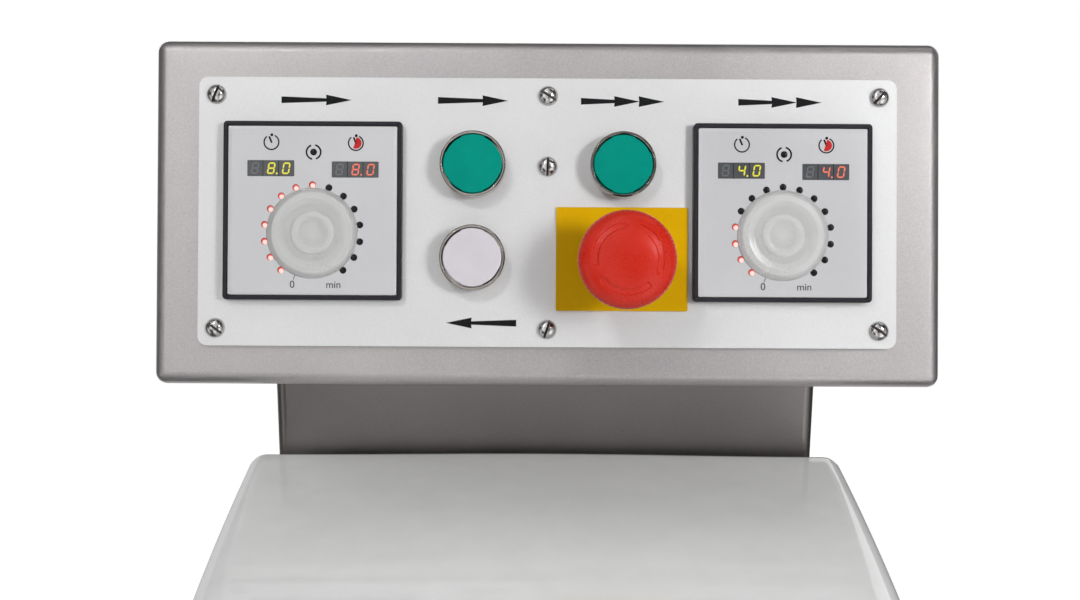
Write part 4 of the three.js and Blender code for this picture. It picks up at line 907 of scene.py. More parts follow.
# the rims show only as a crescent of painted shade on the upper left, where the glows and cores stand off to
# the lower right
litParts = [  # piece, finish, share of the lamp's radius, rise, and how far right, up and out it stands
    ("_lit_shaded_rims", "litLampShadedRim", 1.0, 0.12, (0.0, 0.0, 0.0)),
    ("_lit_glows", "litLampGlow", 0.9, 0.16, (0.08, -0.1, 0.03)),
    ("_lit_cores", "litLampCore", 0.7, 0.2, (0.22, -0.38, 0.1)),
]
darkRise = 0.3


def segmentOutline(letter, glyph, stroke, slant):
    # a bar with pointed ends, laid along or up the figure and then leaned over with it
    width, height = glyph
    lying = letter in "adg"
    gap = 0.12
    long, half = ((width if lying else height / 2) - gap) / 2, stroke / 2
    bar = np.array([(-long, 0), (half - long, half), (long - half, half),
                    (long, 0), (long - half, -half), (half - long, -half)])
    right, up = width / 2, height / 2
    middles = {"a": (0, up), "d": (0, -up), "g": (0, 0), "b": (right, up / 2), "c": (right, -up / 2),
               "e": (-right, -up / 2), "f": (-right, up / 2)}
    points = (bar if lying else bar[:, ::-1]) + middles[letter]
    return points + np.stack([slant * points[:, 1], 0 * points[:, 1]], 1)


def printPiece(name, outlines, finish, level, thickness):
    # a thin slab for each outline
    shape = joined(*[slab([outline], level, level + thickness) for outline in outlines])
    panelPiece(name, shape, finish)


def letterPiece(name, text, x, y, height, finish, level, thickness):
    # lettering is filled as a mesh first, and then laid on the pane
    emSize, boldness = 1.35, 0.006  # of the letters' height
    curve = bpy.data.curves.new(name, "FONT")
    curve.body = text
    curve.align_x = "CENTER"
    curve.align_y = "CENTER"
    curve.size = height * emSize
    curve.extrude = thickness / 2
    curve.offset = boldness * height
    holder = bpy.data.objects.new(name, curve)
    flat = bpy.data.meshes.new_from_object(holder)
    bpy.data.objects.remove(holder)
    points = np.empty(len(flat.vertices) * 3)
    flat.vertices.foreach_get("co", points)
    faces = [list(polygon.vertices) for polygon in flat.polygons]
    placed = points.reshape(-1, 3) + (x, y, level + thickness / 2)
    panelPiece(name, (placed, faces), finish)


def clockOutlines(look, x, y):
    # an open circle, its hand and the dot above its gap
    ring = arcPath(look["radius"], *look["arc"], x, y, 40)
    right, up = look["handFoot"]
    tip = (x - look["handLean"] * look["hand"], y + look["hand"])
    hand = np.array([(x + right, y + up), tip])
    dot = circleRing(look["dot"], x + right, y + look["radius"], 20)
    return [ribbonOutline(ring, look["stroke"]), ribbonOutline(hand, look["handStroke"]), dot]


def sectorOutline(look, x, y):
    # an arc closed at a point near its centre
    arc = arcPath(look["radius"] * look["sector"], *look["sectorArc"], x, y, 24)
    return np.concatenate([arc, [np.array([x, y]) + look["sectorTip"]]])


def buildTimer(name, look):
    # a square frame of one section, a pane whose edge slopes away, and the marks printed on it
    x, y = panelMiddle(name + "_frame")[:2]
    low, high = panelBox(name + "_frame")
    border, middle = look["border"], look["border"] / 2
    base, top = low[2] - look["frameSunk"], high[2]
    corners = [(middle, base), (0, base), (0, top), (border, top), (border, base), (middle, base)]
    section = filleted(corners, look["frameBends"], 4)[:-1]
    shape = frameShape(high[0] - low[0], look["frameCorner"], section, x, y, 6)
    panelPiece(name + "_bezel", shape, "mouldedBlackAbs", standsFor=[name + "_frame"])

    paneLow, paneHigh = panelBox(name + "_pane")
    paneSize, under, face = paneHigh[0] - paneLow[0], paneLow[2], paneHigh[2]
    dialX, dialY = panelMiddle(name + "_dial")[:2]
    slope, fall = look["paneBevel"]
    flatSize, flatCorner = paneSize - 2 * slope, 0.4
    hole = circleRing(look["stemHole"], dialX, dialY, 32)
    flat = slab([roundedRing(flatSize, flatSize, flatCorner, x, y, 3), hole], under, face)
    edges = [(slope, under), (0, under), (0, face - fall), (slope, face)]
    border = frameShape(paneSize, look["paneCorner"], edges, x, y, 3)
    panelPiece(name + "_window", flat, "filmPolycarbonate", standsFor=[name + "_pane"])
    panelPiece(name + "_window_border", border, "filmPolycarbonate", crease=20)

    level, ink = face + look["lift"], look["ink"]
    marks, reds = [], []
    for clockX, clockY, filled in look["clockPlaces"]:
        marks += clockOutlines(look["clock"], x + clockX, y + clockY)
        if filled:
            reds.append(sectorOutline(look["clock"], x + clockX, y + clockY))
    mark = look["lampMark"]
    markX, markY = x + mark["at"][0], y + mark["at"][1]
    for start in mark["starts"]:
        arc = arcPath(mark["radius"], start, start + mark["arc"], markX, markY)
        marks.append(ribbonOutline(arc, mark["stroke"]))
    tick = ribbonOutline(np.array(look["tick"]) + (x, y), look["tickStroke"])
    printPiece(name + "_marks", marks, "printedInk", level, ink)
    printPiece(name + "_share_mark", reds, "printedRedInk", level, ink)
    printPiece(name + "_tick", [tick], "printedGreyInk", level, ink)
    for label, (letters, labelX, labelY, height) in look["labels"].items():
        letterPiece(f"{name}_{label}", letters, x + labelX, y + labelY, height, "printedGreyInk", level, ink)

    buildFigures(name, look, x, y, level)
    buildLamps(name, look, dialX, dialY, (markX, markY), level)
    buildDial(dial, name, dialX, dialY, face)


def buildFigures(name, look, x, y, level):
    # two windows of three cells, each with a faint 8, the minutes and a 0 after a point
    figures = look["figures"]
    width, height = figures["size"]
    glyph = (figures["glyph"], figures["stroke"], figures["slant"])
    cell = width / 3
    dividerWidth, dividerCorner = figures["divider"]
    pointX, pointY, pointRadius = figures["point"]
    windows, dividers, ghosts = [], [], []
    litLift, litInk = look["layers"]["lit"]
    for column, (figureX, figureY, lit) in enumerate(look["figurePlaces"]):
        middle = np.array([x + figureX, y + figureY])
        windows.append(roundedRing(width, height, figures["corner"], *middle, steps=2))
        for seam in (middle[0] - cell / 2, middle[0] + cell / 2):
            dividers.append(roundedRing(dividerWidth, height, dividerCorner, seam, middle[1], 1))
        spots = [middle + (place * cell + shift, 0) for place, shift in zip((-1, 0, 1), figures["shifts"])]
        rows = [[segmentOutline(letter, *glyph) + spot for letter in segmentSets[figure]]
                for figure, spot in zip(("8", readings[name][0], "0"), spots)]
        ghosts += rows[0]
        point = circleRing(pointRadius, middle[0] + pointX, middle[1] + pointY, 12)
        printPiece(f"{name}_figures_{column + 1}", [*rows[1], *rows[2], point], lit, level + litLift, litInk)
    parts = {"windows": (windows, "smokedAcrylic"), "dividers": (dividers, "unlitLamp"),
             "ghosts": (ghosts, "unlitSegment")}
    for part, (outlines, finish) in parts.items():
        lift, ink = look["layers"][part]
        printPiece(f"{name}_{part}", outlines, finish, level + lift, ink)


def lampShape(radius, rise, x, y, level):
    # a low dome on a short wall
    wall = 0.05
    turn = np.linspace(0, math.pi / 2, 7)
    dome = np.stack([radius * np.cos(turn), level + wall + rise * np.sin(turn)], 1)
    return turned([(0, level), (radius, level), *dome], x, y, 24)


def buildLamps(name, look, x, y, mark, level):
    # round the dial, clockwise from the lowest on the left; the lit ones are a darker rim that shows as a
    # crescent of painted shade, a glow and a core
    radius, lit = look["lampRadius"], readings[name][1]
    turn = np.radians(np.linspace(*look["lampSteps"]))
    spots = np.array([x, y]) + look["lampCircle"] * np.stack([np.sin(turn), np.cos(turn)], 1)
    for part, finish, share, rise, (right, up, out) in litParts:
        domes = [lampShape(radius * share, rise, spotX + right, spotY + up, level + out)
                 for spotX, spotY in spots[:lit]]
        panelPiece(name + part, joined(*domes), finish)
    darks = [lampShape(radius, darkRise, *spot, level) for spot in [*spots[lit:], mark]]
    panelPiece(name + "_dark_lamps", joined(*darks), "unlitLamp")


dial = {
    "stem": 3.0,
    "gap": 0.12,  # above the pane
    "height": 1.55,  # above the pane
    "skirt": 0.45,
    "skirtFall": (0.12, 0.1),  # its outer edge below the skirt's height, and its inner edge above it
    "step": (1.2, 0.2),  # how far outside the waist it starts, and how far below the top it ends
    "shoulder": 2.2,
    "dishSlope": 3.2,  # ends this far outside the ring
    "ringFlank": (0.5, 0.3),  # outside and inside of the ring's outer radius
    "waist": 0.88,  # shares of the dial's radius, from here to the well
    "ring": (0.455, 0.37),
    "well": 0.29,
    "dish": 0.5,  # depths below the top
    "ringTop": 0.1,
    "wellFloor": 0.4,
    "facets": 128,
}


def buildDial(look, name, x, y, pane):
    # a low knob: its skirt rises by a soft step to a shallow dish, and a ring stands round its middle
    low, high = panelBox(name + "_dial")
    stem, radius = look["stem"], (high[0] - low[0]) / 2
    base, top = pane + look["gap"], pane + look["height"]
    skirt = base + look["skirt"]
    waist, well = radius * look["waist"], radius * look["well"]
    ringOut, ringIn = radius * look["ring"][0], radius * look["ring"][1]
    dish, ringTop, floor = top - look["dish"], top - look["ringTop"], top - look["wellFloor"]
    outerFall, innerRise = look["skirtFall"]
    stepOut, stepDown = look["step"]
    flankOut, flankIn = look["ringFlank"]
    corners = [(0, low[2]), (stem, low[2]), (stem, base), (radius, base), (radius, skirt - outerFall),
               (waist + stepOut, skirt + innerRise), (waist, top - stepDown), (waist - look["shoulder"], top),
               (ringOut + look["dishSlope"], dish), (ringOut + flankOut, dish), (ringOut - flankIn, ringTop),
               (ringIn, ringTop), (well, floor), (0, floor)]
    bends = [0.3, 0.0, 0.1, 0.3, 0.6, 0.8, 1.1, 2.2, 0.8, 0.35, 0.35, 0.9]
    knob = lathed(corners, bends, 5, x, y, look["facets"])
    panelPiece(name + "_knob", knob, "hazedPolycarbonate", name.split("_")[0] + "_dial",
               standsFor=[name + "_dial"], crease=60)


for timerName in timerNames:
    buildTimer(timerName, timer)
    makeCopy(timerName + "_case", "mouldedBlackAbs", bevel=0.6)
print("timers: two")

# Push buttons: chromed ring, notched cap and contact block
button = {
    "bore": 7.5,
    "sleeve": 10.9,
    "plateGap": 0.05,
    "lip": 1.15,
    "floor": 1.2,
    "chamfers": (0.44, 0.28),  # outside and inside
    "facets": 96,
    "capGap": 0.28,
    "capFoot": 4.3,  # the cap's underside above the pocket's floor
    "notch": 0.3,  # how far four of the cap's eight sectors stand back
    "rimWall": 0.5,  # outside the stem, where the sectors begin
    "capRise": 0.25,
    "capShoulder": 0.6,  # share of its radius and of its rise
    "capFacets": 160,
    "stem": 7.0,
}
capFinishes = {
    "slow_start": "mouldedGreenPolyamide",
    "fast_start": "mouldedGreenPolyamide",
    "bowl_reverse": "mouldedWhitePolyamide",
}


def buildButton(name, look):
    # a turned ring and a turned cap; every other eighth of the cap's rim stands back by the notch
    low, high = panelBox(name + "_ring")
    x, y = panelMiddle(name + "_ring")[:2]
    radius, bottom, top = (high[0] - low[0]) / 2, low[2], high[2]
    bore, sleeve, inner = look["bore"], look["sleeve"], radius - look["lip"]
    foot = plateTop + look["plateGap"]
    pocket = foot + look["floor"]
    outer, within = look["chamfers"]
    seam = (bore, (bottom + pocket) / 2)  # where the profile closes
    corners = [seam, (bore, bottom), (sleeve, bottom), (sleeve, foot), (radius, foot), (radius, top - outer),
               (radius - outer, top), (inner + within, top), (inner, top - within), (inner, pocket),
               (bore, pocket), seam]
    bends = [0.3, 0.5, 0.0, 0.25, 0.1, 0.15, 0.12, 0.08, 0.0, 0.0]
    ring = lathed(corners, bends, 6, x, y, look["facets"])
    panelPiece(name + "_bezel", ring, "chromePlate", standsFor=[name + "_ring"])

    low, high = panelBox(name + "_cap")
    stem, rise, radius, share = look["stem"], look["capRise"], inner - look["capGap"], look["capShoulder"]
    foot, top = pocket + look["capFoot"], high[2] - rise
    corners = [(0, low[2]), (stem, low[2]), (stem, foot), (radius, foot), (radius, top),
               (radius * share, top + rise * share), (0, top + rise)]
    points, faces = lathed(corners, [0.4, 0.0, 0.2, 0.45, 6.0], 5, 0, 0, look["capFacets"])
    angle = np.degrees(np.arctan2(points[:, 1], points[:, 0]))
    stoodBack = np.abs((angle % 90) - 45) < 22.5
    atRim = np.hypot(points[:, 0], points[:, 1]) > stem + look["rimWall"]
    reach = np.where(stoodBack & atRim, 1 - look["notch"] / radius, 1)
    points = points * np.stack([reach, reach, np.ones(len(reach))], 1) + (x, y, 0)
    panelPiece(name + "_lens", (points, faces), capFinishes[name], name + "_button",
               standsFor=[name + "_cap"])
    makeCopy(name + "_contacts", "mouldedBlackAbs", bevel=0.8)


for buttonName in buttonNames:
    buildButton(buttonName, button)

# Emergency stop: yellow label plate, collar, plunger and turn-to-release mushroom head
stopSwitch = {
    "labelEdge": 0.15,
    "labelCorner": 0.6,
    "labelSunk": 0.25,  # below the plate's top
    "hole": 11.2,
    "bore": 8.5,
    "sleeve": 10.9,
    "collarGap": 0.05,
    "collarSlope": 1.5,
    "plunger": 8.0,
    "spigot": 5.0,
    "headGap": 0.3,  # between the plunger's shoulder and top and the head
}
mushroom = {
    "radius": 20.0,
    "bore": 5.5,
    "neck": (0.55, 0.78),  # shares of the radius: where the underside starts to rise, and where it is up
    "neckRise": 4.5,
    "facets": 216,
    "flutes": 54,
    "fluteDepth": 0.16,
    "fluteRadii": (17.5, 19.5),  # between these radii they deepen to the full
    "fluteFoot": 5.0,  # above the underside
    "belt": 8.6,  # height of the widest line above the underside
    "beltHeight": 1.0,
    "crownStart": 1.5,  # above the belt; nothing is sunk below it
    "roundness": 2.5,
    "fullness": 0.42,
    "arrowIn": 11.7,
    "arrowOut": 14.7,
    "arrowDepth": 0.5,
    "arrowSoftness": 0.32,
    "arrows": [(90, 192), (211, 311), (-29, 72)],  # degrees; each one's head is at its first angle
    "arrowHead": 13.0,  # degrees
    "arrowWidths": (1.25, 0.9),  # shares of the band's width: the head's foot, and the shaft
}


def buildStop(look):
    # the label is a slab with a hole, and the collar and the plunger are turned
    x, y = panelMiddle("stop_collar")[:2]
    low, high = panelBox("stop_label")
    width, height = (high - low)[:2]
    label = roundedRing(width, height, look["labelCorner"], *panelMiddle("stop_label")[:2], steps=3)
    shape = slab([label, circleRing(look["hole"], x, y)], low[2] - look["labelSunk"], high[2])
    panelPiece("stop_label_plate", shape, "enamelledLabel", standsFor=["stop_label"], bevel=look["labelEdge"])

    foot = high[2] + look["collarGap"]
    low, high = panelBox("stop_collar")
    bore, sleeve, radius, top = look["bore"], look["sleeve"], (high[0] - low[0]) / 2, high[2]
    corners = [(bore, foot), (bore, low[2]), (sleeve, low[2]), (sleeve, foot), (radius, foot),
               (radius - look["collarSlope"], top), (bore, top), (bore, foot)]
    collar = lathed(corners, [0.3, 0.4, 0.0, 0.3, 0.8, 0.3], 4, x, y, 96)
    panelPiece("stop_bush", collar, "mouldedBlackAbs", standsFor=["stop_collar"])

    low, high = panelBox("stop_plunger")
    headLow, headHigh = panelBox("stop_mushroom")
    plunger, spigot, shoulder = look["plunger"], look["spigot"], headLow[2] - look["headGap"]
    corners = [(0, low[2]), (plunger, low[2]), (plunger, shoulder), (spigot, shoulder), (spigot, high[2]),
               (0, high[2])]
    shaft = lathed(corners, [0.6, 0.5, 0.0, 0.4], 4, x, y, 64)
    panelPiece("stop_shaft", shaft, "mouldedBlackAbs", "stop_plunger", standsFor=["stop_plunger"])
    buildMushroom(mushroom, x, y, headLow[2], headHigh[2], high[2] + look["headGap"])
    makeCopy("stop_contacts", "mouldedBlackAbs", bevel=0.8)


def buildMushroom(look, x, y, low, crown, socket):
    # the crown's height above its widest line is (1 - (r / R)^2.5)^0.42; the profile is turned, its rim
    # is fluted by a cosine, and it is let down inside three arrows that run round the crown
    reach, bore, rise = look["radius"], look["bore"], low + look["neckRise"]
    belt = low + look["belt"]
    start, end = reach * look["neck"][0], reach * look["neck"][1]
    corners = [(0, socket), (bore, socket), (bore, low), (start, low), (end, rise),
               (reach, belt - look["beltHeight"]), (reach, belt)]
    under = filleted(corners, [0.0, 0.3, 0.6, 4.0, 3.0], 7)
    inward = reach * np.sin(np.linspace(math.pi / 2, 0, 90))
    dome = np.maximum(1 - (inward / reach) ** look["roundness"], 0) ** look["fullness"]
    profile = np.concatenate([under, np.stack([inward, belt + (crown - belt) * dome], 1)[1:]])
    points, faces = turned(profile, 0, 0, look["facets"])
    rows = points.reshape(len(profile), look["facets"], 3)
    radius = np.hypot(rows[..., 0], rows[..., 1])
    angle = np.degrees(np.arctan2(rows[..., 1], rows[..., 0]))

    sunk = np.zeros(radius.shape)
    middle, full = (look["arrowIn"] + look["arrowOut"]) / 2, look["arrowOut"] - look["arrowIn"]
    headWidth, shaftWidth = look["arrowWidths"][0] * full / 2, look["arrowWidths"][1] * full / 2
    for first, last in look["arrows"]:
        along = (angle - first) % 360
        inHead = along < look["arrowHead"]
        half = np.where(inHead, headWidth * along / look["arrowHead"], shaftWidth)
        half *= along <= (last - first) % 360
        edge = np.clip((half - np.abs(radius - middle)) / look["arrowSoftness"], 0, 1)
        sunk = np.maximum(sunk, edge * edge * (3 - 2 * edge))
    onCrown = rows[..., 2] > belt + look["crownStart"]
    rows[..., 2] -= look["arrowDepth"] * sunk * onCrown

    rim = np.interp(radius, look["fluteRadii"], (0, 1)) * (rows[..., 2] > low + look["fluteFoot"])
    ripple = 0.5 * (1 + np.cos(np.radians(look["flutes"] * angle)))
    drawn = 1 - rim * look["fluteDepth"] * ripple / reach
    placed = rows * np.stack([drawn, drawn, np.ones(drawn.shape)], -1) + (x, y, 0)
    panelPiece("stop_head_cap", (placed.reshape(-1, 3), faces), "mouldedRedPolyamide", "stop_head",
               standsFor=["stop_mushroom"], crease=50)


buildStop(stopSwitch)
print("buttons: three, and the emergency stop")

# Neck: a folded duct from the column's top to the tilted underside of the console
neck = {"corner": 5.0, "sheet": 2.0}


def buildNeck(look):
    # the duct's upper edge follows the console's underside: a height that rises with y by the lean
    low, high = standBox("console_neck")
    width, depth = (high - low)[:2]
    corner, sheet, y = look["corner"], look["sheet"], (low[1] + high[1]) / 2
    points = nodePoints("console_neck")
    nearby = 0.5  # of the front or the back
    atFront = points[points[:, 1] < low[1] + nearby][:, 2].max()
    atBack = points[points[:, 1] > high[1] - nearby][:, 2].max()
    lean = (atBack - atFront) / depth
    outside = roundedRing(width, depth, corner, 0, y, 10)
    inside = roundedRing(width - 2 * sheet, depth - 2 * sheet, corner - sheet, 0, y, 10)
    rings = []
    for outline in (outside, inside):
        rings += [atLevel(outline, low[2]), atLevel(outline, atFront + lean * (outline[:, 1] - low[1]))]
    # up the outside, down the inside and back to the start
    shape = gridShape([rings[0], rings[1], rings[3], rings[2], rings[0]])
    # the duct's darker steel is painted shade
    makePiece("console_duct", shape, "shadedNeckStainless", standsFor=["console_neck"])


buildNeck(neck)

# Hood: sections that shrink from the rear end to the front lip
hoodShape = {
    "lip": 10.0,
    "draft": 10.0,
    "crown": 1.0,
    "fall": 2.3,
    "shoulders": (8.0, 32.0),  # radius between flank and top, at the rear and at the front
    "shoulderLimit": 0.9,  # share of the section's height
    "corner": 55.0,
    "wall": 4.0,
    "rearBend": 9.0,
    "rows": 84,
    "firstRow": (1.15, 1.05),  # power and factor that set the first row's angle past the rear bend
    "window": (81.0, 61.0),  # half width and height of the belt's window in the rear wall
}


def buildHood(look):
    # a section's top falls as cos^(2/fall) of the row's angle while its place runs forward as
    # sin^(2/fall); its half width follows the plan's round corners, its flanks lean in, and a quarter
    # circle joins each flank to the crowned top
    low, high = standBox("hood")
    half, rear, front, deck = high[0], high[1], low[1], low[2]
    length = rear - front
    height = high[2] - deck - look["crown"]
    bend = look["rearBend"]
    turnIn = np.linspace(math.pi / 2, 0, 6, endpoint=False)
    power, factor = look["firstRow"]
    rowAngle = np.linspace((bend / length) ** power * factor, math.pi / 2, look["rows"])
    share = np.maximum(np.sin(rowAngle) ** (2 / look["fall"]), bend / length)
    share = np.concatenate([bend * (1 - np.sin(turnIn)) / length, share])
    inset = np.concatenate([bend * (1 - np.cos(turnIn)), np.zeros(look["rows"])])
    rise = np.maximum(1 - share ** look["fall"], 0) ** (1 / look["fall"])
    top = look["lip"] + (height - look["lip"]) * rise - inset
    intoCorner = np.maximum(look["corner"] - (1 - share) * length, 0)
    wide = half - look["corner"] + np.sqrt(np.maximum(look["corner"] ** 2 - intoCorner**2, 0)) - inset
    rearShoulder, frontShoulder = look["shoulders"]
    shoulder = np.minimum(rearShoulder + (frontShoulder - rearShoulder) * share, look["shoulderLimit"] * top)
    lean = look["draft"] * (top - shoulder) / height
    turn = np.linspace(0, math.pi / 2, 13)
    upFlank = np.linspace(0, 1, 8, endpoint=False)
    flankZ = (top - shoulder)[:, None] * upFlank
    flankX = wide[:, None] - lean[:, None] * upFlank
    bendX = (wide - lean - shoulder)[:, None] + shoulder[:, None] * np.cos(turn)
    bendZ = (top - shoulder)[:, None] + shoulder[:, None] * np.sin(turn)
    across = np.linspace(1, 0, 17)[1:]
    crownX = bendX[:, -1:] * across
    crownZ = top[:, None] + look["crown"] * rise[:, None] * (1 + np.cos(math.pi * across)) / 2
    sideX = np.concatenate([flankX, bendX, crownX], 1)
    sideZ = np.concatenate([flankZ, bendZ, crownZ], 1)
    x = np.concatenate([sideX, -sideX[:, -2::-1]], 1)
    z = deck + np.concatenate([sideZ, sideZ[:, -2::-1]], 1)
    y = np.broadcast_to((rear - length * share)[:, None], x.shape)
    rows = np.stack([x, y, z], -1)
    skin = gridShape(rows, wrap=False)
    windowX, windowZ = look["window"]
    sill = deck + windowZ
    notch = [(-windowX, rear, deck), (-windowX, rear, sill), (windowX, rear, sill), (windowX, rear, deck)]
    edge = np.concatenate([rows[0], notch])
    back = [list(triangle) for triangle in tessellate_polygon([edge[:, [0, 2, 1]].tolist()])]
    nose = rows[-1]
    shape = joined(skin, (edge, back), (nose, [list(range(len(nose)))]))
    makePiece("hood_shell", shape, "sprayedGelcoat", standsFor=["hood"], wall=look["wall"], crease=50)


buildHood(hoodShape)
print("neck and hood: done")

# Stand: one welded body, and the rear cover with its cooling slots and cable gland
stand = {"edge": 1.2}
makeCopy("main_frame", "powderCoat", bevel=stand["edge"])

rearCover = {
    "corner": 6.0,
    "edge": 0.5,
    "margin": 18.0,  # beyond the opening behind it
    "slots": 6,
    "slotPitch": 16.0,
    "slotHeight": 6.0,
    "slotCorner": 2.9,
    "slotShare": 0.6,  # of the opening's half width
    "glandHole": 8.3,
}


def onBack(points):
    # a drawing of x to the right and z up, laid on the machine's back with its thickness along y
    return standing(np.asarray(points, float)[:, [0, 2, 1]])


def buildRearCover(look):
    # a rounded rectangle less a row of slots, one above the other, and the cable's hole
    low, high = standBox("rear_cover")
    width, height = high[0] - low[0], high[2] - low[2]
    slotWidth, slotHeight = (width - 2 * look["margin"]) * look["slotShare"], look["slotHeight"]
    firstSlot = standMiddle("spiral_motor")[2] + slotHeight / 2
    gland = standMiddle("mains_gland")
    holes = [roundedRing(slotWidth, slotHeight, look["slotCorner"], 0, firstSlot + i * look["slotPitch"], 6)
             for i in range(look["slots"])]
    holes.append(circleRing(look["glandHole"], gland[0], gland[2], 32))
    plate = roundedRing(width, height, look["corner"], 0, (low[2] + high[2]) / 2)
    makePiece("rear_cover_plate", slab([plate, *holes], low[1], high[1]), "blastedStainless",
              place=onBack, standsFor=["rear_cover"], bevel=look["edge"])


buildRearCover(rearCover)

cableGland = {
    "bore": 5.0,
    "thread": 7.6,
    "coverGap": 0.2,
    "nut": 12.0,
    "nutShare": 0.42,  # of what stands out behind the cover
    "dome": 10.2,
    "domeStep": 0.6,
    "tipSlope": (1.4, 4.0),
    "ribs": 12,
    "ribDepth": 0.5,
    "facets": 144,
}


def buildGland(look):
    # a hexagon's radius is its flat's distance over the cosine of the angle from the flat; the dome
    # nut above it has twelve ribs drawn by a cosine
    low, high = standBox("mains_gland")
    x, z = (low[0] + high[0]) / 2, (low[2] + high[2]) / 2
    back = standBox("rear_cover")[1][1]
    tail, tip, foot = low[1], high[1], back + look["coverGap"]
    nutTop = back + (tip - back) * look["nutShare"]
    bore, thread, nut, dome = look["bore"], look["thread"], look["nut"], look["dome"]
    step, (slopeIn, slopeDown) = look["domeStep"], look["tipSlope"]
    seam = (bore, (tail + tip) / 2)  # where the profile closes
    corners = [seam, (bore, tail), (thread, tail), (thread, foot), (nut, foot), (nut, nutTop),
               (dome, nutTop + step), (dome, tip - slopeDown), (bore + slopeIn, tip), (bore, tip), seam]
    profile = filleted(corners, [0.3, 0.6, 0.0, 0.5, 0.9, 0.4, 2.4, 0.6, 0.4], 4)
    points, faces = turned(profile, 0, 0, look["facets"])
    rows = points.reshape(len(profile), look["facets"], 3)
    angle = np.linspace(0, 2 * math.pi, look["facets"], endpoint=False)
    hexagon = math.cos(math.pi / 6) / np.cos((angle % (math.pi / 3)) - math.pi / 6)
    ribs = 1 - look["ribDepth"] / dome * 0.5 * (1 + np.cos(look["ribs"] * angle))
    isNut = (profile[:, 0] > dome + 0.3) & (profile[:, 1] < nutTop + 0.1)  # its edge's arc counts as nut
    isDome = (profile[:, 0] > dome - 1.0) & (profile[:, 1] > nutTop + 0.4)  # and the dome's as dome
    drawn = np.where(isNut[:, None], hexagon, np.where(isDome[:, None], ribs, 1.0))
    placed = np.stack([x + rows[..., 0] * drawn, z + rows[..., 1] * drawn, rows[..., 2]], -1)
    makePiece("cable_gland", (placed.reshape(-1, 3), faces), "mouldedPolyamide", place=onBack,
              standsFor=["mains_gland"], crease=40)


buildGland(cableGland)

foot = {
    "pad": 14.0,
    "padSlope": (5.0, 0.6),  # how far its top is drawn in, and the share of its height where that starts
    "collar": 11.0,
    "collarTop": 44.7,
    "stem": 6.0,
    "sunk": 2.0,  # the collar into the pad
}


def buildFoot(name, look):
    # a turned rubber pad, and a turned stem with its collar sunk into it
    low, high = standBox(name)
    x, y = standMiddle(name)[:2]
    radius, pad, (slope, share) = (high[0] - low[0]) / 2, look["pad"], look["padSlope"]
    corners = [(0, 0), (radius, 0), (radius, share * pad), (radius - slope, pad), (0, pad)]
    makePiece(name + "_pad", lathed(corners, [1.2, 2.5, 2.0], 5, x, y, 72), "mouldedRubber", standsFor=[name])
    collar, collarTop, stem, base = look["collar"], look["collarTop"], look["stem"], pad - look["sunk"]
    corners = [(0, base), (collar, base), (collar, collarTop), (stem, collarTop), (stem, high[2]),
               (0, high[2])]
    makePiece(name + "_stem", lathed(corners, [0.0, 1.2, 0.0, 0.8], 4, x, y, 48), "zincPlate")


for footNumber in range(1, 5):
    buildFoot(f"foot_{footNumber}", foot)
print("stand: body, rear cover, gland and feet")

# Bowl on its spindle: a spun pan with a rolled rim
bowlShape = {
    "radius": 200.0,
    "corner": 60.0,
    "wall": 3.0,
    "bead": 4.9,
    "beadTuck": 0.6,  # radians that the rim rolls on past its top
    "insideTop": 2.0,  # below the rim
    "facets": 192,
}


def buildBowl(look):
    # a pan's half section, outside, round the bead and down the inside, carried round its axis
    low, high = standBox("bowl")
    floor, rim, radius, wall, bead = low[2], high[2], look["radius"], look["wall"], look["bead"]
    inner, inside = radius - wall, floor + wall
    outer = filleted([(0, floor), (radius, floor), (radius, rim - 2 * bead)], [look["corner"]], 16)
    turn = np.linspace(-math.pi / 2, math.pi / 2 + look["beadTuck"], 16)
    roll = np.stack([radius + bead * np.cos(turn), rim - bead * (1 - np.sin(turn))], 1)
    corners = [(inner, rim - look["insideTop"]), (inner, inside), (0, inside)]
    profile = np.concatenate([outer, roll, filleted(corners, [look["corner"] - wall], 16)])
    pan = turned(profile, *bowlCentre[:2], look["facets"])
    makePiece("bowl_pan", pan, "spunStainless", "bowl", standsFor=["bowl"])


buildBowl(bowlShape)

spindle = {"shaft": 16.0, "plate": 9.0, "bearingGap": 0.3}


def buildSpindle(look):
    # a shaft that opens in a cone to the round plate under the bowl
    low, high = standBox("bowl_spindle")
    x, y = standMiddle("bowl_spindle")[:2]
    shaft, radius = look["shaft"], (high[0] - low[0]) / 2
    coneFoot = standBox("bowl_bearing")[1][2] + look["bearingGap"]
    corners = [(0, low[2]), (shaft, low[2]), (shaft, coneFoot), (radius, high[2] - look["plate"]),
               (radius, high[2]), (0, high[2])]
    plate = lathed(corners, [1.0, 4.0, 1.5, 1.0], 5, x, y, 96)
    makePiece("bowl_turntable", plate, "polishedStainless", "bowl", standsFor=["bowl_spindle"])


buildSpindle(spindle)

# Spiral tool: a bar that swings out from its boss and winds down to the bowl's floor
spiral = {
    "bar": 11.0,
    "turns": 1.3,
    "start": 56.0,  # its boss below the head
    "swing": 0.3,
    "tuck": 0.35,
    "reach": 79.0,  # of its centre line
    "floorGap": 9.0,
    "headGap": 0.3,
    "shaft": 17.5,
    "tail": (0.75, 0.8),  # shares of the shaft's radius: the cone below the boss, and how far down
    "boss": 21.5,
    "bossHeight": 24.0,
    "bossStep": 4.0,
}


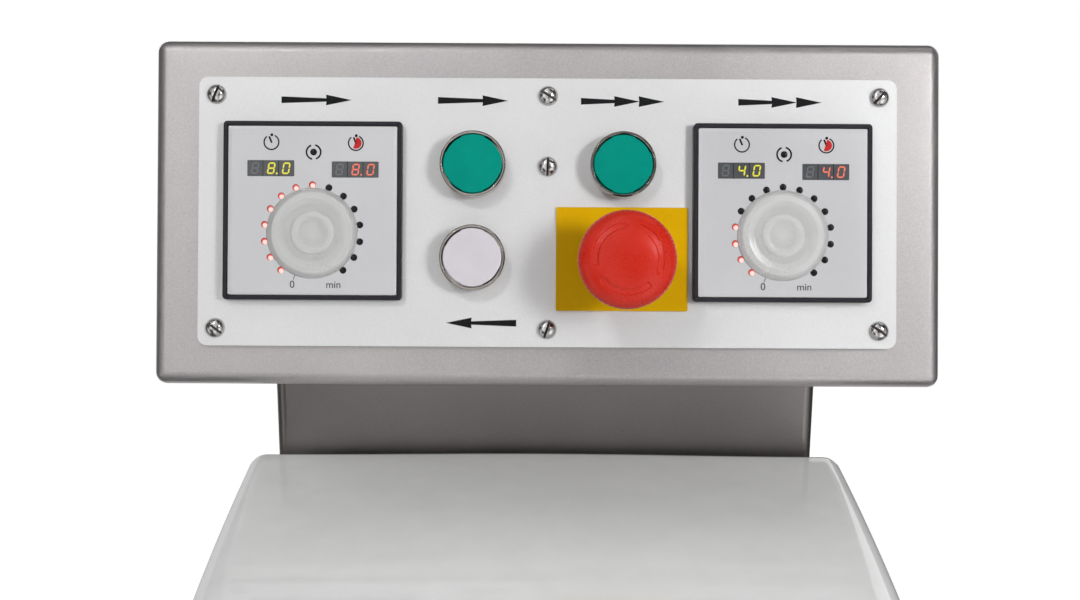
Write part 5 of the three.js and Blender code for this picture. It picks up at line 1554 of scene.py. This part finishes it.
def buildSpiral(look):
    # the angle runs evenly down the bar; its distance from the axis grows as a quarter sine over the
    # first share of the height, and shrinks as a square over the last quarter
    shaftTop = standBox("spiral_tool")[1][2]
    y = standMiddle("spiral_lower_bearing")[1]
    top = standBox("breaker_bar")[1][2] + look["headGap"] - look["start"]
    bottom = standBox("bowl")[0][2] + bowlShape["wall"] + look["floorGap"] + look["bar"]
    share = np.linspace(0, 1, 200)
    angle = 2 * math.pi * look["turns"] * share + math.pi / 2
    swing = np.sin(np.minimum(share / look["swing"], 1) * math.pi / 2)
    tuck = 1 - look["tuck"] * np.maximum(0, 4 * share - 3) ** 2
    reach = look["reach"] * swing * tuck
    path = np.stack([reach * np.cos(angle), y + reach * np.sin(angle), top + (bottom - top) * share], 1)
    bar = swept(path, look["bar"], 28)
    shaft, boss, bossTop = look["shaft"], look["boss"], top + look["bossHeight"]
    tailRadius, tailLength = shaft * look["tail"][0], shaft * look["tail"][1]
    corners = [(0, top - shaft), (tailRadius, top - tailLength), (boss, top), (boss, bossTop),
               (shaft, bossTop + look["bossStep"]), (shaft, shaftTop), (0, shaftTop)]
    shape = joined(bar, lathed(corners, [6.0, 5.0, 1.5, 1.5, 1.2], 5, 0, y, 72))
    makePiece("spiral_bar", shape, "polishedStainless", "spiral", standsFor=["spiral_tool"])


buildSpiral(spiral)

breaker = {
    "radius": 13.0,
    "tip": 5.0,
    "boss": 19.0,
    "bossHeight": 12.0,
    "bossStep": 6.0,
    "flange": 7.0,
    "flangeCorner": 12.0,
    "edge": 0.8,
}


def buildBreaker(look):
    # a round post with a domed tip, and a flange that bolts it to the head
    low, high = standBox("breaker_bar")
    x, y = standMiddle("breaker_bar")[:2]
    width, depth = (high - low)[:2]
    radius, boss, top = look["radius"], look["boss"], high[2]
    hidden = top - 1  # inside the flange
    corners = [(0, low[2]), (radius, low[2]), (radius, top - look["bossHeight"]),
               (boss, top - look["bossStep"]), (boss, hidden), (0, hidden)]
    post = lathed(corners, [look["tip"], 4.0, 2.0, 0.0], 6, x, y, 64)
    flange = slab([roundedRing(width, depth, look["flangeCorner"], x, y)], top - look["flange"], top)
    makePiece("breaker_post", joined(post, flange), "polishedStainless", standsFor=["breaker_bar"],
              bevel=look["edge"], crease=40)


buildBreaker(breaker)
print("bowl, spiral and breaker bar: done")

# Bowl guard: bent rail, half ring, welded ties, and an eye at each end on its pin
guard = {
    "rod": 4.0,
    "tie": 3.2,
    "ties": 9,
    "bend": 64.0,
    "railFront": -107.0,  # in front of the bowl's axis
    "arm": (40.0, 12.0),  # how far forward each arm slopes, and how far down
    "drop": 30.0,  # the rail below the pivot
    "ring": 201.9,
    "rimGap": 13.0,  # the ring's middle above the bowl's rim
    "railTies": (0.13, 0.87),  # shares of the rail's length between which the ties start
    "ringTies": (0.004, 0.996),
    "eye": 13.0,
    "eyeThickness": 7.0,
    "eyeBore": 6.5,
    "pin": 6.0,
    "pinHead": 5.8,
    "boltHead": (10.0, 5.0, 1.0),  # radius, height, and how much of it is domed
}


def crosswise(shape, y, z):
    # turns a shape so that its upright axis lies along x, at y and z
    points, faces = shape
    return np.stack([points[:, 2], y + points[:, 0], z + points[:, 1]], 1), faces


def alongPath(path, shares):
    # points at even shares of a path's length
    steps = np.linalg.norm(np.diff(path, axis=0), axis=1)
    length = np.concatenate([[0], np.cumsum(steps)])
    return np.stack([np.interp(shares * length[-1], length, path[:, i]) for i in range(3)], 1)


def buildGuard(look):
    # the rail is a smooth curve through both arms and bends, the ring is half a circle, and straight
    # ties join them at even shares of both
    bowlY, rim = bowlCentre[1], standBox("bowl")[1][2]
    pivotY, pivotZ = standMiddle("guard_pin_right")[1:]
    eyeX = standBox("guard_pin_right")[1][0] - look["pinHead"] - look["eyeThickness"] / 2
    front, low, bend = bowlY + look["railFront"], pivotZ - look["drop"], look["bend"]
    turn = np.linspace(0, math.pi / 2, 9)
    bendX, bendY = eyeX - bend * (1 - np.cos(turn)), front + bend * (1 - np.sin(turn))
    forward, down = look["arm"]
    arm = [(eyeX, pivotY, pivotZ), (eyeX, pivotY - forward, pivotZ - down)]
    right = np.concatenate([arm, np.stack([bendX, bendY, low + 0 * turn], 1)])
    left = right[::-1] * (-1, 1, 1)
    rail = smoothPath(np.concatenate([right, [(0, front, low)], left]), 220)
    turn = np.linspace(0, -math.pi, 120)
    ringX, ringY = look["ring"] * np.cos(turn), bowlY + look["ring"] * np.sin(turn)
    ring = np.stack([ringX, ringY, rim + look["rimGap"] + 0 * turn], 1)
    starts = alongPath(rail, np.linspace(*look["railTies"], look["ties"]))
    ends = alongPath(ring, np.linspace(*look["ringTies"], look["ties"]))
    steps = np.linspace(0, 1, 7)[:, None]
    ties = [swept(start + (end - start) * steps, look["tie"], 16) for start, end in zip(starts, ends)]
    half, bore, eye = look["eyeThickness"] / 2, look["eyeBore"], look["eye"]
    corners = [(bore, 0), (bore, -half), (eye, -half), (eye, half), (bore, half), (bore, 0)]
    section = filleted(corners, [0.6, 1.6, 1.6, 0.6], 4)
    eyes = [crosswise(turned(section + (0, side * eyeX), 0, 0, 48), pivotY, pivotZ) for side in (-1, 1)]
    shape = joined(swept(rail[3:-3], look["rod"], 20), swept(ring, look["rod"], 20), *ties, *eyes)
    makePiece("guard_rails", shape, "polishedStainless", "guard", standsFor=["bowl_guard"])

    pin, (head, height, dome) = look["pin"], look["boltHead"]
    for name, side in (("left", -1), ("right", 1)):
        inner, outer = sorted(abs(box[0]) for box in standBox(f"guard_pin_{name}"))
        corners = [(0, inner), (pin, inner), (pin, outer - height), (head, outer - height),
                   (head, outer - dome), (0, outer)]
        profile = filleted(corners, [0.8, 0.0, 0.5, 1.4], 5) * (1, side)
        bolt = crosswise(turned(profile, 0, 0, 48), pivotY, pivotZ)
        makePiece(f"guard_{name}_bolt", bolt, "polishedStainless", standsFor=[f"guard_pin_{name}"])


buildGuard(guard)

# Drives inside the stand: CAD shapes with their edges eased
driveFinishes = {
    "bowl_bearing": ("oiledCastIron", "frame", 1.0),
    "spiral_lower_bearing": ("blastedStainless", "frame", 0.8),
    "spiral_upper_bearing": ("oiledCastIron", "frame", 1.0),
    "bowl_pulley": ("oiledCastIron", "bowl", 0.8),
    "spiral_pulley": ("oiledCastIron", "spiral", 0.8),
    "bowl_motor_pulley": ("oiledCastIron", "bowl_drive", 0.6),
    "spiral_motor_pulley": ("oiledCastIron", "spiral_drive", 0.6),
    "bowl_motor": ("brushedEnamel", "frame", 1.5),
    "spiral_motor": ("brushedEnamel", "frame", 1.5),
    "bowl_belt": ("mouldedRubber", "frame", 0.6),
    "spiral_belt": ("mouldedRubber", "frame", 0.6),
    "control_loom": ("mouldedRubber", "frame", 0.0),
}
for driveName, (driveFinish, driveBody, driveEdge) in driveFinishes.items():
    makeCopy(driveName, driveFinish, driveBody, bevel=driveEdge)
print("guard and drives: done")
